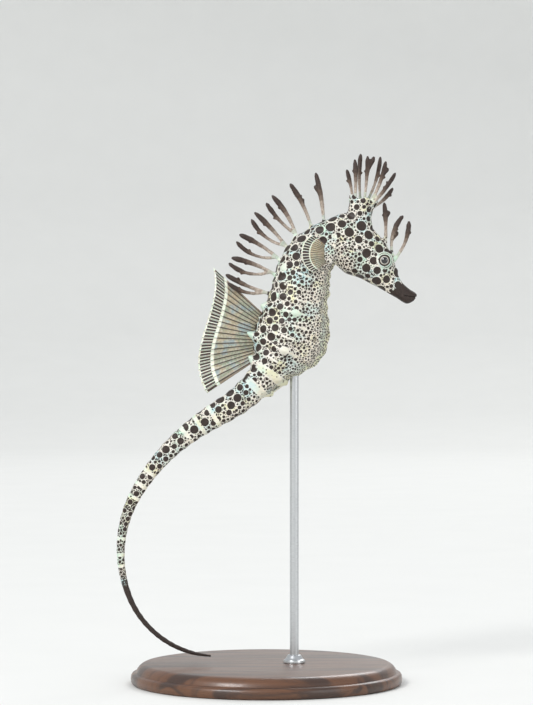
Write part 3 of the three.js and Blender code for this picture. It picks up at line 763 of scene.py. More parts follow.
MANE_FRONDS = [
    ((17.0, 133.6), (14.5, 150.6), 0.03, 0, 0.5, (0.55, (14.4, 146.9), 0, 0.5)),
    ((13.8, 132.4), (6.9, 147.3), 0.05, 0, -0.8, (0.5, (10.4, 143.0), 0, 0.6)),
    ((9.4, 129.9), (1.5, 144.0), 0.07, 0, 1.4, (0.14, (-0.1, 141.6), -0.05, -1.7)),
    ((7.2, 127.0), (-3.6, 138.8), 0.03, 0, -1.5, (0.14, (-4.5, 137.0), -0.12, 2.0)),
    ((5.0, 123.8), (-8.1, 132.4), 0.05, 0, 1.6, (0.16, (-8.9, 130.2), -0.14, -2.0)),
    ((4.0, 119.6), (-10.4, 125.4), 0.05, 0, -1.6, (0.2, (-11.2, 124.0), -0.14, 2.1)),
    ((3.0, 114.4), (-12.1, 120.6), -0.045, 0, 1.5, (0.2, (-11.4, 118.0), -0.12, -1.9)),
]
# Radius along a frond, as shares of its length and of its thickness.
FROND_SHAPE = [
    (-0.07, 1.2), (0, 1.8), (0.05, 1.5), (0.11, 1.25), (0.2, 1.12), (0.32, 1.12), (0.45, 1.25), (0.56, 1.4),
    (0.66, 1.6), (0.75, 1.78), (0.83, 1.82), (0.9, 1.65), (0.95, 1.35), (0.985, 0.8), (1.0, 0.35),
]
TWIG_SHAPE = [(0, 0.9)] + FROND_SHAPE[4:]
SHORT_TWIG_SHAPE = [(0, 0.9), (0.25, 1.0), (0.5, 1.2)] + FROND_SHAPE[9:]
CLUB_START = (0.2, 0.95)
LOBE_SHAPE = [(0, 0.9), (0.4, 0.8), (0.75, 0.85), (0.93, 0.6), (1, 0.2)]
# A twig that leaves its frond below this share is long, and each is thinner than its frond.
LONG_TWIG, TWIG_THIN = 0.3, 0.9
FROND_SAMPLES = 40

random.seed(19)
fronds_curve = bpy.data.curves.new("fronds", "CURVE")
fronds_curve.dimensions = "3D"
fronds_curve.bevel_depth = MM
fronds_curve.bevel_resolution = 4
fronds_curve.use_fill_caps = True
stem_samples = []


def stem(start, end, bow):
    """Points of a bowed line from start to end, as a function of the share of its length."""
    start, end = Vector(start), Vector(end)
    across = Vector((end.z - start.z, 0, start.x - end.x))
    middle = (start + end) / 2 + 2 * bow * across
    return lambda t: (1 - t) ** 2 * start + 2 * t * (1 - t) * middle + t * t * end


def new_thread(rows):
    """Starts a bevelled thread, and pairs its knots with the rows of its shape."""
    thread = fronds_curve.splines.new("POLY")
    thread.points.add(len(rows) - 1)
    return zip(thread.points, rows)


def draw_stem(at, radius, rows=FROND_SHAPE, wave=0.0, start=0.0):
    """Adds one thread, and keeps samples of it for its marks, from the share it starts at."""
    knots = new_thread(rows)
    phase = random.uniform(0, 6)
    for knot, (share, width) in knots:
        spot = at(share) + Vector((0, wave * math.sin(7 * share + phase) * share, 0))
        knot.co = (*(spot * MM), 1)
        knot.radius = radius * width * random.uniform(0.88, 1.12)
    for step in range(FROND_SAMPLES + 1):
        share = step / FROND_SAMPLES
        stem_samples.append((at(share), start + (1 - start) * share))


def add_lobe(at, share, radius, side):
    """A small side lobe below the club, leaning towards the tip."""
    start = at(share)
    along = (at(share + 0.05) - start).normalized()
    across = Vector((along.z, 0, -along.x)) * side
    tip = start + (0.84 * along + 0.6 * across) * random.uniform(1.8, 2.2) * (radius / 0.5)
    lobe = stem(start, tip, -0.05 * side)
    for knot, (step, width) in new_thread(LOBE_SHAPE):
        knot.co = (*(lobe(step) * MM), 1)
        knot.radius = radius * width
        stem_samples.append((lobe(step), min(1, share + 0.12 * step)))


def draw_frond(root, tip, bow, aside, splay, twig, radius):
    at = stem((root[0], aside, root[1]), (tip[0], aside + splay, tip[1]), bow)
    draw_stem(at, radius, wave=0.25)
    add_lobe(at, random.uniform(0.56, 0.68), radius, random.choice((-1, 1)))
    if twig:
        share, twig_tip, twig_bow, twig_splay = twig
        long_twig = share < LONG_TWIG
        fork = at(share)
        branch = stem(fork, (twig_tip[0], fork.y + twig_splay, twig_tip[1]), twig_bow)
        draw_stem(branch, TWIG_THIN * radius, TWIG_SHAPE if long_twig else SHORT_TWIG_SHAPE, start=share)
        if long_twig:
            add_lobe(branch, random.uniform(0.5, 0.64), TWIG_THIN * radius, random.choice((-1, 1)))


for rows, radius in ((CROWN_FRONDS, 0.39), (BROW_FRONDS, 0.43), (MANE_FRONDS, 0.45)):
    for row in rows:
        draw_frond(*row, radius)
fronds = bpy.data.objects.new("fronds", fronds_curve)
scene.collection.objects.link(fronds)
select_only(fronds)
bpy.ops.object.convert(target="MESH")
fronds = bpy.context.object
edit(fronds)
pick_all()
bpy.ops.mesh.remove_doubles(threshold=0.001 * MM)
face_out()
print("fronds:", len(fronds.data.vertices), "points")

# %% Mark the fronds
def tree_of(spots):
    """A tree that quickly finds the nearest of many places."""
    tree = KDTree(len(spots))
    for index, spot in enumerate(spots):
        tree.insert(spot, index)
    tree.balance()
    return tree


stems = tree_of([spot for spot, share in stem_samples])


def by_share(low, high):
    """A mark that rises from 0 to 1 along each frond, between two shares of its length."""
    return lambda *at: blend(stem_samples[stems.find(at)[1]][1], low, high)


bare_root = by_share(0.14, 0.36)
mark(
    fronds, flank=0.0, pale=lambda *at: 1 - bare_root(*at), dark=by_share(*CLUB_START),
    stalk=by_share(0.08, 0.32), room=0.0,
)
print("marked the fronds from", len(stem_samples), "samples")

# %% [markdown]
# ## One skin
# The pieces so far only pass through each other. A voxel remesh wraps one even skin round all of
# them, as wet clay closes over an armature. A light smoothing takes off its steps, a longer one
# softens the joint behind the head, and a cloudy displacement gives the soft lumps of real skin.

# %% Fin roots, join and wrap
VOXEL = 0.31
# Small lumps that carry the pectoral fins: place on the left side, and radii.
FIN_LUMPS = [((17.5, 4.2, 126.4), (0.9, 0.8, 2.6)), ((18.0, 3.2, 127.6), (2.8, 1.7, 4.6))]
fin_roots = [ball("fin_root", (x, side * y, z), radii)
             for (x, y, z), radii in FIN_LUMPS for side in (1, -1)]
for piece in fin_roots:
    mark(piece, flank=0.4, pale=0.0, dark=0.0, stalk=0.0, room=0.42)
skin = join("skin", *fin_roots, fronds, coronet, head, body)
old_points = [point.co.copy() for point in skin.data.vertices]
old_marks = {name: [v.value for v in skin.data.attributes[name].data] for name in MARKS}
print("before the wrap:", len(old_points), "points")
skin.data.remesh_voxel_size = VOXEL * MM
skin.data.remesh_voxel_adaptivity = 0
skin.data.use_remesh_fix_poles = False
select_only(skin)
bpy.ops.object.voxel_remesh()
print("after the wrap:", len(skin.data.vertices), "points,", len(skin.data.polygons), "faces")
apply_modifier(skin, "SMOOTH", factor=0.5, iterations=2)

# %% Soften the joint behind the head
JOINT_BACK, JOINT_THROAT = Vector((12.2, 0, 135.2)), Vector((20.9, 0, 124.6))
JOINT_ENDS, JOINT_REACH, JOINT_ROUNDS = (1.0, 1.5), (1.0, 3.2), 24
joint = skin.vertex_groups.new(name="joint")
chord = (JOINT_THROAT - JOINT_BACK).normalized()
length = (JOINT_THROAT - JOINT_BACK).length
for point in skin.data.vertices:
    away = Vector((point.co.x, 0, point.co.z)) / MM - JOINT_BACK
    along = away.dot(chord)
    aside = (away - along * chord).length
    if -JOINT_ENDS[0] < along < length + JOINT_ENDS[1] and aside < JOINT_REACH[1]:
        joint.add([point.index], 1 - blend(aside, *JOINT_REACH), "REPLACE")
apply_modifier(skin, "SMOOTH", factor=0.5, iterations=JOINT_ROUNDS, vertex_group="joint")

# %% Give the skin its soft lumps
LUMP_SIZE, LUMP_DEPTH = 1.3, 0.1
lumps = bpy.data.textures.new("lumps", "CLOUDS")
lumps.noise_scale = LUMP_SIZE * MM
lumps.noise_depth = 2
apply_modifier(skin, "DISPLACE", texture=lumps, texture_coords="LOCAL", strength=LUMP_DEPTH * MM,
               mid_level=0.5)
print("skin with lumps, mm:", in_mm(*skin.dimensions))

# %% [markdown]
# ## Mouth, nostrils and eye sockets
# What is thinner than a voxel is cut after the wrap. A thin wedge out of the end of the snout
# leaves the short lower jaw that a seahorse tips up to feed, and a small tongue closes it inside.
# A ball a little larger than the eye makes each socket, and a tiny one each nostril.

# %% Cut the mouth, the nostrils and the eye sockets
MOUTH = (25.3, -0.15)
MOUTH_SLANT = math.radians(24)
MOUTH_LENGTH, MOUTH_WIDTH, MOUTH_OPEN, MOUTH_INSIDE = 5.0, 8, 0.34, 0.4
TONGUE, TONGUE_RADII = (26.7, 0, 0.45), (1.85, 1.3, 0.75)
NOSTRILS = [(17.9, 5.2), (17.2, 5.9)]
NOSTRIL_RADIUS, NOSTRIL_START = 0.22, 6
EYE_SLACK = 0.03

wedge_middle = metres(MOUTH_LENGTH / 2, 0, 0)
wedge = add("wedge", "cube", size=MM, location=wedge_middle)
edit(wedge)
pick_all()
resize((MOUTH_LENGTH, MOUTH_WIDTH, MOUTH_OPEN), wedge_middle)
pick(wedge, lambda point: point.co.x < 0.1 * MM)
resize((1, 1, MOUTH_INSIDE))
leave_edit()
lips = Matrix.Translation(metres(MOUTH[0], 0, MOUTH[1])) @ Matrix.Rotation(-MOUTH_SLANT, 4, "Y")
settle(wedge, HEAD_PLACE @ lips)
carve(skin, wedge)
tongue = ball("tongue", TONGUE, TONGUE_RADII, turn=(0, -MOUTH_SLANT, 0))
settle(tongue, HEAD_PLACE)
carve(skin, tongue, "UNION")
for along, up in NOSTRILS:
    for side in (1, -1):
        # A nostril goes where the skin is, seen from its side.
        start = HEAD_PLACE @ Vector(metres(along, side * NOSTRIL_START, up))
        inwards = (HEAD_PLACE.to_3x3() @ Vector((0, -side, 0))).normalized()
        found, at, *_ = skin.ray_cast(start, inwards)
        if found:
            carve(skin, ball("nostril", at / MM, [NOSTRIL_RADIUS] * 3, 8))
for side in (1, -1):
    socket = ball("socket", (EYE_ALONG, side * EYE_OUT, EYE_UP), [EYE_RADIUS + EYE_SLACK] * 3, 24)
    settle(socket, HEAD_PLACE)
    carve(skin, socket)
# A cut leaves points that only split an edge in two, which would turn into slivers: they go.
edit(skin)
pick(skin, lambda point: len(point.link_edges) == 2)
bpy.ops.mesh.dissolve_verts()
leave_edit()
print("skin after the cuts:", len(skin.data.vertices), "points")

# %% [markdown]
# ## The marks on the new skin
# The wrap and the cuts made new points, so each takes the marks of the nearest old point. The rim
# of each lid is dark, with a bare pale ring round it.

# %% Carry the marks over
LID_DARK, LID_PALE = (0.34, 0.54), (0.55, 0.8)
tree = tree_of(old_points)
nearest = [tree.find(point.co)[1] for point in skin.data.vertices]
values = {name: [old_marks[name][index] for index in nearest] for name in MARKS}
eye_middles = [HEAD_PLACE @ Vector(metres(EYE_ALONG, side * EYE_OUT, EYE_UP)) for side in (1, -1)]
for index, point in enumerate(skin.data.vertices):
    off_eye = min((point.co - middle).length for middle in eye_middles) / MM - EYE_RADIUS
    if off_eye < LID_PALE[1] + 0.3:
        values["dark"][index] = 1 - blend(off_eye, *LID_DARK)
        values["pale"][index] = max(values["pale"][index], 1 - blend(off_eye, *LID_PALE))
for name in MARKS:
    for layer in [layer for layer in skin.data.attributes if layer.name == name]:
        skin.data.attributes.remove(layer)
    store(skin, name, values[name])
select_only(skin)
bpy.ops.object.shade_smooth()
triangles = sum(len(face.vertices) - 2 for face in skin.data.polygons)
print("skin:", len(skin.data.vertices), "points,", triangles, "triangles")

# %% [markdown]
# ## Spots
# Round brown spots cover the skin: large on the back and the brow, smaller down the flanks. They
# are packed as a painter packs them: the largest first, each at a random point of the skin with
# room for it, and then smaller ones in the gaps. Each point of the skin keeps how deep it lies
# in a spot, in millimetres, and the finish turns that into round edges.

# %% Scatter the spots
# Spot radius in millimetres, and how many points are tried.
SPOT_SIZES = [(1.4, 700), (1.15, 1500), (0.88, 5000), (0.66, 12000), (0.48, 25000), (0.34, 50000)]
SPOT_GAP, SPOT_SPREAD = 0.11, 0.06
SPOT_EDGE = 0.6
SPOT_CELL = 3
NEIGHBOURS = [(dx, dy, dz) for dx in (-1, 0, 1) for dy in (-1, 0, 1) for dz in (-1, 0, 1)]
# Above these marks the skin has no spots.
SPOTLESS = {"pale": 0.3, "dark": 0.3, "stalk": 0.05}

random.seed(31)
spot_skin = [point.co / MM for point in skin.data.vertices]
free = [index for index in range(len(spot_skin))
        if all(values[name][index] < most for name, most in SPOTLESS.items())]
spots_placed, near_spots = [], {}
for radius, tries in SPOT_SIZES:
    for index in random.sample(free, min(tries, len(free))):
        size = radius * random.uniform(0.88, 1.1)
        if values["room"][index] < radius * 0.95:
            continue
        at = spot_skin[index]
        cell = tuple(int(v // SPOT_CELL) for v in at)
        around = [spot for step in NEIGHBOURS
                  for spot in near_spots.get(tuple(map(sum, zip(cell, step))), ())]
        if all((at - other).length > (1 + SPOT_SPREAD) * (size + other_size) + SPOT_GAP
               for other, other_size in around):
            near_spots.setdefault(cell, []).append((at, size))
            spots_placed.append((at, size))
depth_in_spot = [-SPOT_EDGE] * len(spot_skin)
skin_tree = tree_of(spot_skin)
for at, size in spots_placed:
    for _, index, away in skin_tree.find_range(at, size + SPOT_EDGE):
        depth_in_spot[index] = max(depth_in_spot[index], size - away)
store(skin, "spot", depth_in_spot)
covered = sum(depth_in_spot[index] > 0 for index in free) / len(free)
print("spots:", len(spots_placed), "cover", round(covered, 2), "of the spotted skin")

# %% [markdown]
# ## Eyes
# Each eye is a ball with a clear bulge over its pupil. Ring after ring of faces round the pole is
# moved out a little for the bulge. Each point keeps how far it is from the middle of the pupil, so
# that the iris can be painted in rings whichever way the eye looks.

# %% Model the eyes
EYE_RINGS = 32
BULGE, BULGE_REACH = 0.16, 1.15
BULGE_STEPS = (1.0, 0.8, 0.6, 0.4)
eyes = []
for side, name in ((1, "eye_left"), (-1, "eye_right")):
    eye = add(name, "uv_sphere", segments=48, ring_count=EYE_RINGS, radius=EYE_RADIUS * MM)
    edit(eye)
    for reach in BULGE_STEPS:
        pick(eye, lambda point: point.co.z > 0 and point.co.xy.length < reach * BULGE_REACH * MM)
        bpy.ops.transform.translate(value=(0, 0, BULGE / len(BULGE_STEPS) * MM))
    leave_edit()
    mark(eye, from_pupil=lambda x, y, z: math.hypot(x, y) / EYE_RADIUS if z > 0 else 1.0)
    settle(eye, Matrix.Rotation(-side * math.pi / 2, 4, "X"))
    settle(eye, HEAD_PLACE @ Matrix.Translation(metres(EYE_ALONG, side * EYE_OUT, EYE_UP)))
    bpy.ops.object.shade_smooth()
    eyes.append(eye)
print("eyes:", len(eyes), "of", len(eyes[0].data.vertices), "points")

# %% [markdown]
# ## Fins
# A fin is a thin web on a fan of rays. Each starts as a flat grid, whose columns run along the
# rays and whose rows run from foot to edge. No operator lays a grid between two curves, so its
# points are placed by a function, which also ripples the web, as a hovering seahorse does. The
# points on rays get more weight, and Solidify makes them thicker by that weight. The grid's own
# UV map goes with it, so colours can follow the rays.

# %% Lay out the fins
COLUMNS_PER_RAY = 6
FIN_THICK = 0.5
# How thick the web is beside a ray, how far the edge dips between rays, and the thickness at
# the foot and what it loses by the edge.
WEB_SHARE = 0.34
SCALLOP = 0.01
FOOT_THICK, EDGE_LOSS = 1.25, 0.55
DORSAL_RAYS, PECTORAL_RAYS, ANAL_RAYS = 19, 16, 4


def bezier(*knots):
    """A point of a Bezier curve through 2 to 4 knots (x, z) in the middle plane, at a share."""
    def at(t):
        points = [Vector((x, 0, z)) for x, z in knots]
        while len(points) > 1:
            points = [a.lerp(b, t) for a, b in zip(points, points[1:])]
        return points[0]
    return at


def build_fin(name, rays, rows, foot, edge, ripple):
    """A fin between two curves. ripple(across, out) moves a point of the web, in millimetres."""
    columns = COLUMNS_PER_RAY * rays
    fin = add(name, "grid", x_subdivisions=columns, y_subdivisions=rows, size=1, calc_uvs=True)
    ray_weight = fin.vertex_groups.new(name="rays")
    for point in fin.data.vertices:
        across, out = point.co.x + 0.5, point.co.y + 0.5
        on_ray = 0.5 - 0.5 * math.cos(2 * math.pi * across * rays)
        reach = out * (1 - SCALLOP * (1 - on_ray) * out**4)
        weight = (WEB_SHARE + (1 - WEB_SHARE) * on_ray**3) * (FOOT_THICK - EDGE_LOSS * out)
        ray_weight.add([point.index], weight, "REPLACE")
        point.co = (foot(across).lerp(edge(across), reach) + ripple(across, out)) * MM
    apply_modifier(fin, "SOLIDIFY", thickness=FIN_THICK * MM, offset=0, vertex_group="rays",
                   use_even_offset=False)
    edit(fin)
    face_out()
    bpy.ops.object.shade_smooth()
    print(name, len(fin.data.vertices), "points")
    return fin


def sway(depth, waves, shape=1.0, lean=0.0, start=0.0):
    """A ripple from side to side, which grows towards the fin's edge."""
    return lambda across, out: Vector((
        0, depth * out**shape * math.sin(2 * math.pi * (waves * across + lean * out) + start), 0
    ))


dorsal = build_fin(
    "fin_dorsal", DORSAL_RAYS, 22,
    bezier((0.6, 107.6), (-1.8, 101.5), (-1.2, 96.4)),
    bezier((-15.8, 122.7), (-12.6, 109.5), (-25.6, 98.0), (-17.6, 85.4)),
    sway(0.9, 2.6, shape=1.5, lean=0.25),
)

PECTORAL = Vector((17.6, 4.2, 126.4))
PECTORAL_FOOT, PECTORAL_LENGTH, PECTORAL_REACH = 2.5, 8.8, 5.7
PECTORAL_LEAN, PECTORAL_FAN = math.radians(32), math.radians(150)


def pectoral_curves(side):
    def foot(share):
        return Vector((PECTORAL.x, side * PECTORAL.y, PECTORAL.z + PECTORAL_FOOT * (1 - 2 * share)))

    def edge(share):
        fan = (share - 0.5) * PECTORAL_FAN
        back = PECTORAL_LENGTH * (0.35 + 0.65 * math.cos(fan))
        return Vector((
            PECTORAL.x - back * math.cos(PECTORAL_LEAN),
            side * (PECTORAL.y + back * math.sin(PECTORAL_LEAN)),
            PECTORAL.z - PECTORAL_REACH * math.sin(fan),
        ))
    return foot, edge


pectorals = [
    build_fin(name, PECTORAL_RAYS, 14, *pectoral_curves(side), sway(side * 0.35, 2.2, start=1))
    for side, name in ((1, "fin_pectoral_left"), (-1, "fin_pectoral_right"))
]
anal = build_fin(
    "fin_anal", ANAL_RAYS, 8, bezier((0.8, 89.4), (3.8, 91.6)), bezier((2.2, 85.6), (4.9, 87.6)),
    sway(0.15, 7 / (2 * math.pi)),
)

# %% [markdown]
# ## The stand
# A swimming animal can't rest on its tail, so a rod holds it. The base is turned hardwood with a
# moulded edge, and a small steel collar takes the foot of the rod. All three are turned pieces.

# %% Turn the stand
ROD_X = 8.2
BASE_PROFILE = [
    (38.9, 0.0), (39.6, 0.25), (39.9, 0.8), (40.0, 1.6), (39.9, 2.5), (39.6, 3.0), (39.0, 3.3),
    (38.5, 3.4), (38.3, 3.7), (38.1, 4.3), (37.6, 5.0), (37.0, 5.5), (36.3, 5.85), (35.4, 6.0),
    (20.0, 6.0), (8.0, 6.0),
]
COLLAR_PROFILE = [
    (3.1, 6.0), (3.2, 6.1), (3.2, 6.6), (3.1, 6.9), (2.75, 7.1), (2.4, 7.5), (2.1, 8.1),
    (1.9, 8.35), (1.7, 8.4),
]
ROD_PROFILE = [(1.3, 8.35), (1.3, 8.6), (1.3, 50.0), (1.3, 91.6)]
base = turned("base", BASE_PROFILE, 160)
collar = turned("collar", COLLAR_PROFILE, 64, ROD_X)
rod = turned("rod", ROD_PROFILE, 48, ROD_X)
for piece in (base, collar, rod):
    select_only(piece)
    bpy.ops.object.shade_smooth_by_angle(angle=math.radians(40))
print("rod's top is at", ROD_PROFILE[-1][1], "mm")

# %% [markdown]
# ## Shader maths as plain arithmetic
# A finish is a graph of nodes. Signal wraps an output of a node, so that adding and multiplying
# signals writes the Math nodes, and Finish adds any other node in one call. A colour is written
# as on a screen, such as #4a3b35.

# %% Signal and Finish
def paint(text):
    """A linear colour from a screen colour."""
    parts = [int(text[i:i + 2], 16) / 255 for i in (1, 3, 5)]
    return (*(c / 12.92 if c <= 0.04045 else ((c + 0.055) / 1.055) ** 2.4 for c in parts), 1)


class Signal:
    """An output of a shader node, used as a number."""

    def __init__(self, finish, output):
        self.finish, self.output = finish, output

    def math(self, operation, *others):
        return self.finish.math(operation, self, *others)

    def __add__(self, other):
        return self.math("ADD", other)

    def __sub__(self, other):
        return self.math("SUBTRACT", other)

    def __mul__(self, other):
        return self.math("MULTIPLY", other)

    def __rsub__(self, other):
        return self.finish.math("SUBTRACT", other, self)

    __radd__, __rmul__ = __add__, __mul__

    def most(self, other):
        return self.math("MAXIMUM", other)

    def wave(self):
        return self.math("SINE")

    def size(self):
        return self.math("ABSOLUTE")


class Finish:
    """A material whose surface is one Principled shader."""

    def __init__(self, name, **constants):
        self.material = bpy.data.materials.new(name)
        self.material.use_nodes = True
        self.tree = self.material.node_tree
        self.surface = self.tree.nodes["Principled BSDF"]
        for socket, value in constants.items():
            self.surface.inputs[socket.replace("_", " ")].default_value = value

    def node(self, kind, settings=None, out=0, **sockets):
        """Adds a node: its settings first, then the values or links of its sockets."""
        node = self.tree.nodes.new(kind)
        for name, value in (settings or {}).items():
            setattr(node, name, value)
        for name, value in sockets.items():
            key = int(name[1:]) if name[0] == "i" and name[1:].isdigit() else name.replace("_", " ")
            if isinstance(value, Signal):
                self.tree.links.new(value.output, node.inputs[key])
            else:
                node.inputs[key].default_value = paint(value) if isinstance(value, str) else value
        return Signal(self, node.outputs[out])

    def math(self, operation, *values):
        sockets = {f"i{number}": value for number, value in enumerate(values)}
        return self.node("ShaderNodeMath", {"operation": operation}, **sockets)

    def rise(self, signal, low, high):
        """0 below low, 1 above high, smooth between; falls where low is the larger."""
        return self.node("ShaderNodeMapRange", {"interpolation_type": "SMOOTHSTEP"}, Value=signal,
                         From_Min=low, From_Max=high)

    def place(self, kind="Object"):
        return self.node("ShaderNodeTexCoord", None, kind)

    def moved(self, vector, by=(0, 0, 0), scale=(1, 1, 1)):
        return self.node("ShaderNodeMapping", None, Vector=vector, Location=by, Scale=scale)

    def noise(self, vector, cell, detail=2.0, **more):
        """Noise whose grain is about cell millimetres."""
        return self.node("ShaderNodeTexNoise", None, "Fac", Vector=vector, Scale=1 / (cell * MM),
                         Detail=detail, **more)

    def cells(self, vector, cell, out="Distance", **more):
        """Cells about so many millimetres wide: the distance to a cell's middle, or its colour."""
        return self.node("ShaderNodeTexVoronoi", {"feature": "F1"}, out, Vector=vector,
                         Scale=1 / (cell * MM), **more)

    def mark(self, name):
        return self.node("ShaderNodeAttribute", {"attribute_name": name}, "Fac")

    def layers(self, colour, *coats):
        """Lays colours one over another: a coat is its share, from 0 to 1, and its colour."""
        for share, coat in coats:
            colour = self.node("ShaderNodeMix", {"data_type": "RGBA"}, 2, i0=share, i6=colour, i7=coat)
        return colour

    def relief(self, *bumps):
        """A normal: a bump is its height, as a signal, and its full depth in millimetres."""
        links = {}
        for height, depth in bumps:
            normal = self.node("ShaderNodeBump", None, Height=height, Distance=depth * MM,
                               Strength=1.0, **links)
            links = {"Normal": normal}
        return normal

    def feed(self, **sockets):
        for name, value in sockets.items():
            self.tree.links.new(value.output, self.surface.inputs[name.replace("_", " ")])

    def onto(self, *pieces):
        for piece in pieces:
            piece.data.materials.clear()
            piece.data.materials.append(self.material)

# %% [markdown]
# ## Skin
# The living skin is cream with a tinge of mint, sky and lemon, under round brown spots. The spots
# come from the marks on the points. Between them lie fine dots, which are small balls in space,
# one to a cell: where the skin passes through a ball, it shows a round dot.
# Stalks of the fronds run from beige to brown. Fine grain and soft creases are bumps.

# %% Skin finish
CREAM, MINT, LEMON, SKY, WHITE = "#dbd5c9", "#b4d3bf", "#d9d6a4", "#add0d2", "#eae7dd"
BROWN, BROWN_DEEP = "#382a24", "#221914"


def dots(vector, cell, least, most):
    """Fine round dots: 1 inside one. least and most set their sizes as shares of a cell."""
    near, tint = (f.cells(vector, cell, out, Randomness=0.8) for out in ("Distance", "Color"))
    luck = f.node("ShaderNodeSeparateColor", None, "Red", Color=tint)
    return f.rise(near - (least + (most - least) * luck), 0.05, -0.05)


f = Finish("seahorse_skin", Subsurface_Weight=0.03, Subsurface_Scale=0.5 * MM, Coat_Weight=0.1,
           Coat_Roughness=0.25, Specular_IOR_Level=0.35)
place = f.place()
flank, pale, dark, stalk, spot = (f.mark(name) for name in ("flank", "pale", "dark", "stalk", "spot"))
flesh = 1 - stalk
wobble = f.noise(place, 0.8) - 0.5
spot_depth = spot + 0.16 * wobble
in_spot = f.rise(spot_depth, -0.035, 0.035)
# Fine dots keep clear of the spots, and grow where the skin is dusky.
clear = f.rise(spot_depth, -0.07, -0.17)
dusk = 0.16 * f.rise(dark, 0.0, 0.25)
dot = dots(place, 0.85, dusk + 0.2, dusk + 0.47)
dot = dot.most(dots(f.moved(place, (0.0213, 0.0117, 0.0071)), 0.55, dusk + 0.26, dusk + 0.5)) * clear
bare = f.rise(pale + 0.3 * f.noise(place, 1.0), 0.45, 0.75)
freckles = dots(f.moved(place, (0.0057, 0.0301, 0.0149)), 1.0, 0.0, 0.3) * f.rise(flank, 0.2, 0.35)
spotted = (in_spot.most(dot) * (1 - bare)).most(freckles * flesh) * flesh
on_band = f.rise(pale, 0.3, 0.8)
ground = f.layers(
    CREAM,
    (f.rise(f.noise(place, 5.0), 0.5, 0.66), MINT),
    (f.rise(f.noise(f.moved(place, (0.03, 0.01, 0.02)), 5.5), 0.5, 0.66), SKY),
    (f.rise(f.noise(f.moved(place, (0.01, 0.05, 0.04)), 5.0), 0.52, 0.66) * 0.85, LEMON),
    (f.rise(flank, 0.45, 0.75) * 0.45, "#cdbfa8"),
    (f.rise(flank, 0.82, 0.95) * 0.7, LEMON),
    (on_band * 0.4, WHITE),
    (on_band * f.rise(flank, 0.45, 0.15) * 0.55, MINT),
    (on_band * f.rise(flank, 0.42, 0.6) * 0.18, LEMON),
    (f.rise(spot_depth, -0.3, -0.06) * 0.5 * flesh, WHITE),
)
brown = f.layers(BROWN_DEEP, (f.noise(place, 0.9, 3.0), BROWN))
streaks = f.noise(place, 0.5, 3.0)
tip = dark + 0.3 * (streaks - 0.5)
thread = f.layers(
    "#93857a",
    (f.rise(streaks, 0.35, 0.65), "#bfb2a4"),
    (f.rise(tip, 0.05, 0.62), "#665549"),
    (f.rise(tip, 0.45, 0.95), BROWN),
)
plain = f.rise(dark + 0.25 * wobble, 0.35, 0.6)
f.feed(
    Base_Color=f.layers(ground, (spotted, brown), (plain * flesh, brown), (stalk, thread)),
    Roughness=0.42 + 0.2 * f.noise(place, 1.2),
    Normal=f.relief((f.cells(place, 0.34), 0.08), (f.noise(place, 0.9, 4.0), 0.22), (in_spot, 0.03)),
)
f.onto(skin)
print("skin finish:", len(f.tree.nodes), "nodes")

# %% [markdown]
# ## Eyes
# The pupil is dark with a pale ring round it, and the iris is silver with brown flecks. A clear
# coat gives the wet gloss.

# %% Eye finish
f = Finish("seahorse_eye", Roughness=0.12, Coat_Weight=1.0, Coat_Roughness=0.02)
out = f.mark("from_pupil")
flecks = f.noise(f.place(), 0.25, 3.0)
f.feed(Base_Color=f.layers(
    "#8d8474",
    (f.rise(flecks, 0.35, 0.65), "#cfc9bb"),
    (f.rise(out, 0.62, 0.56), "#efece4"),
    (f.rise(out + 0.06 * (flecks - 0.5), 0.68, 0.74), "#33271f"),
    (f.rise(out, 0.55, 0.52), "#060505"),
))
f.onto(*eyes)
print("eye finish:", len(f.tree.nodes), "nodes")
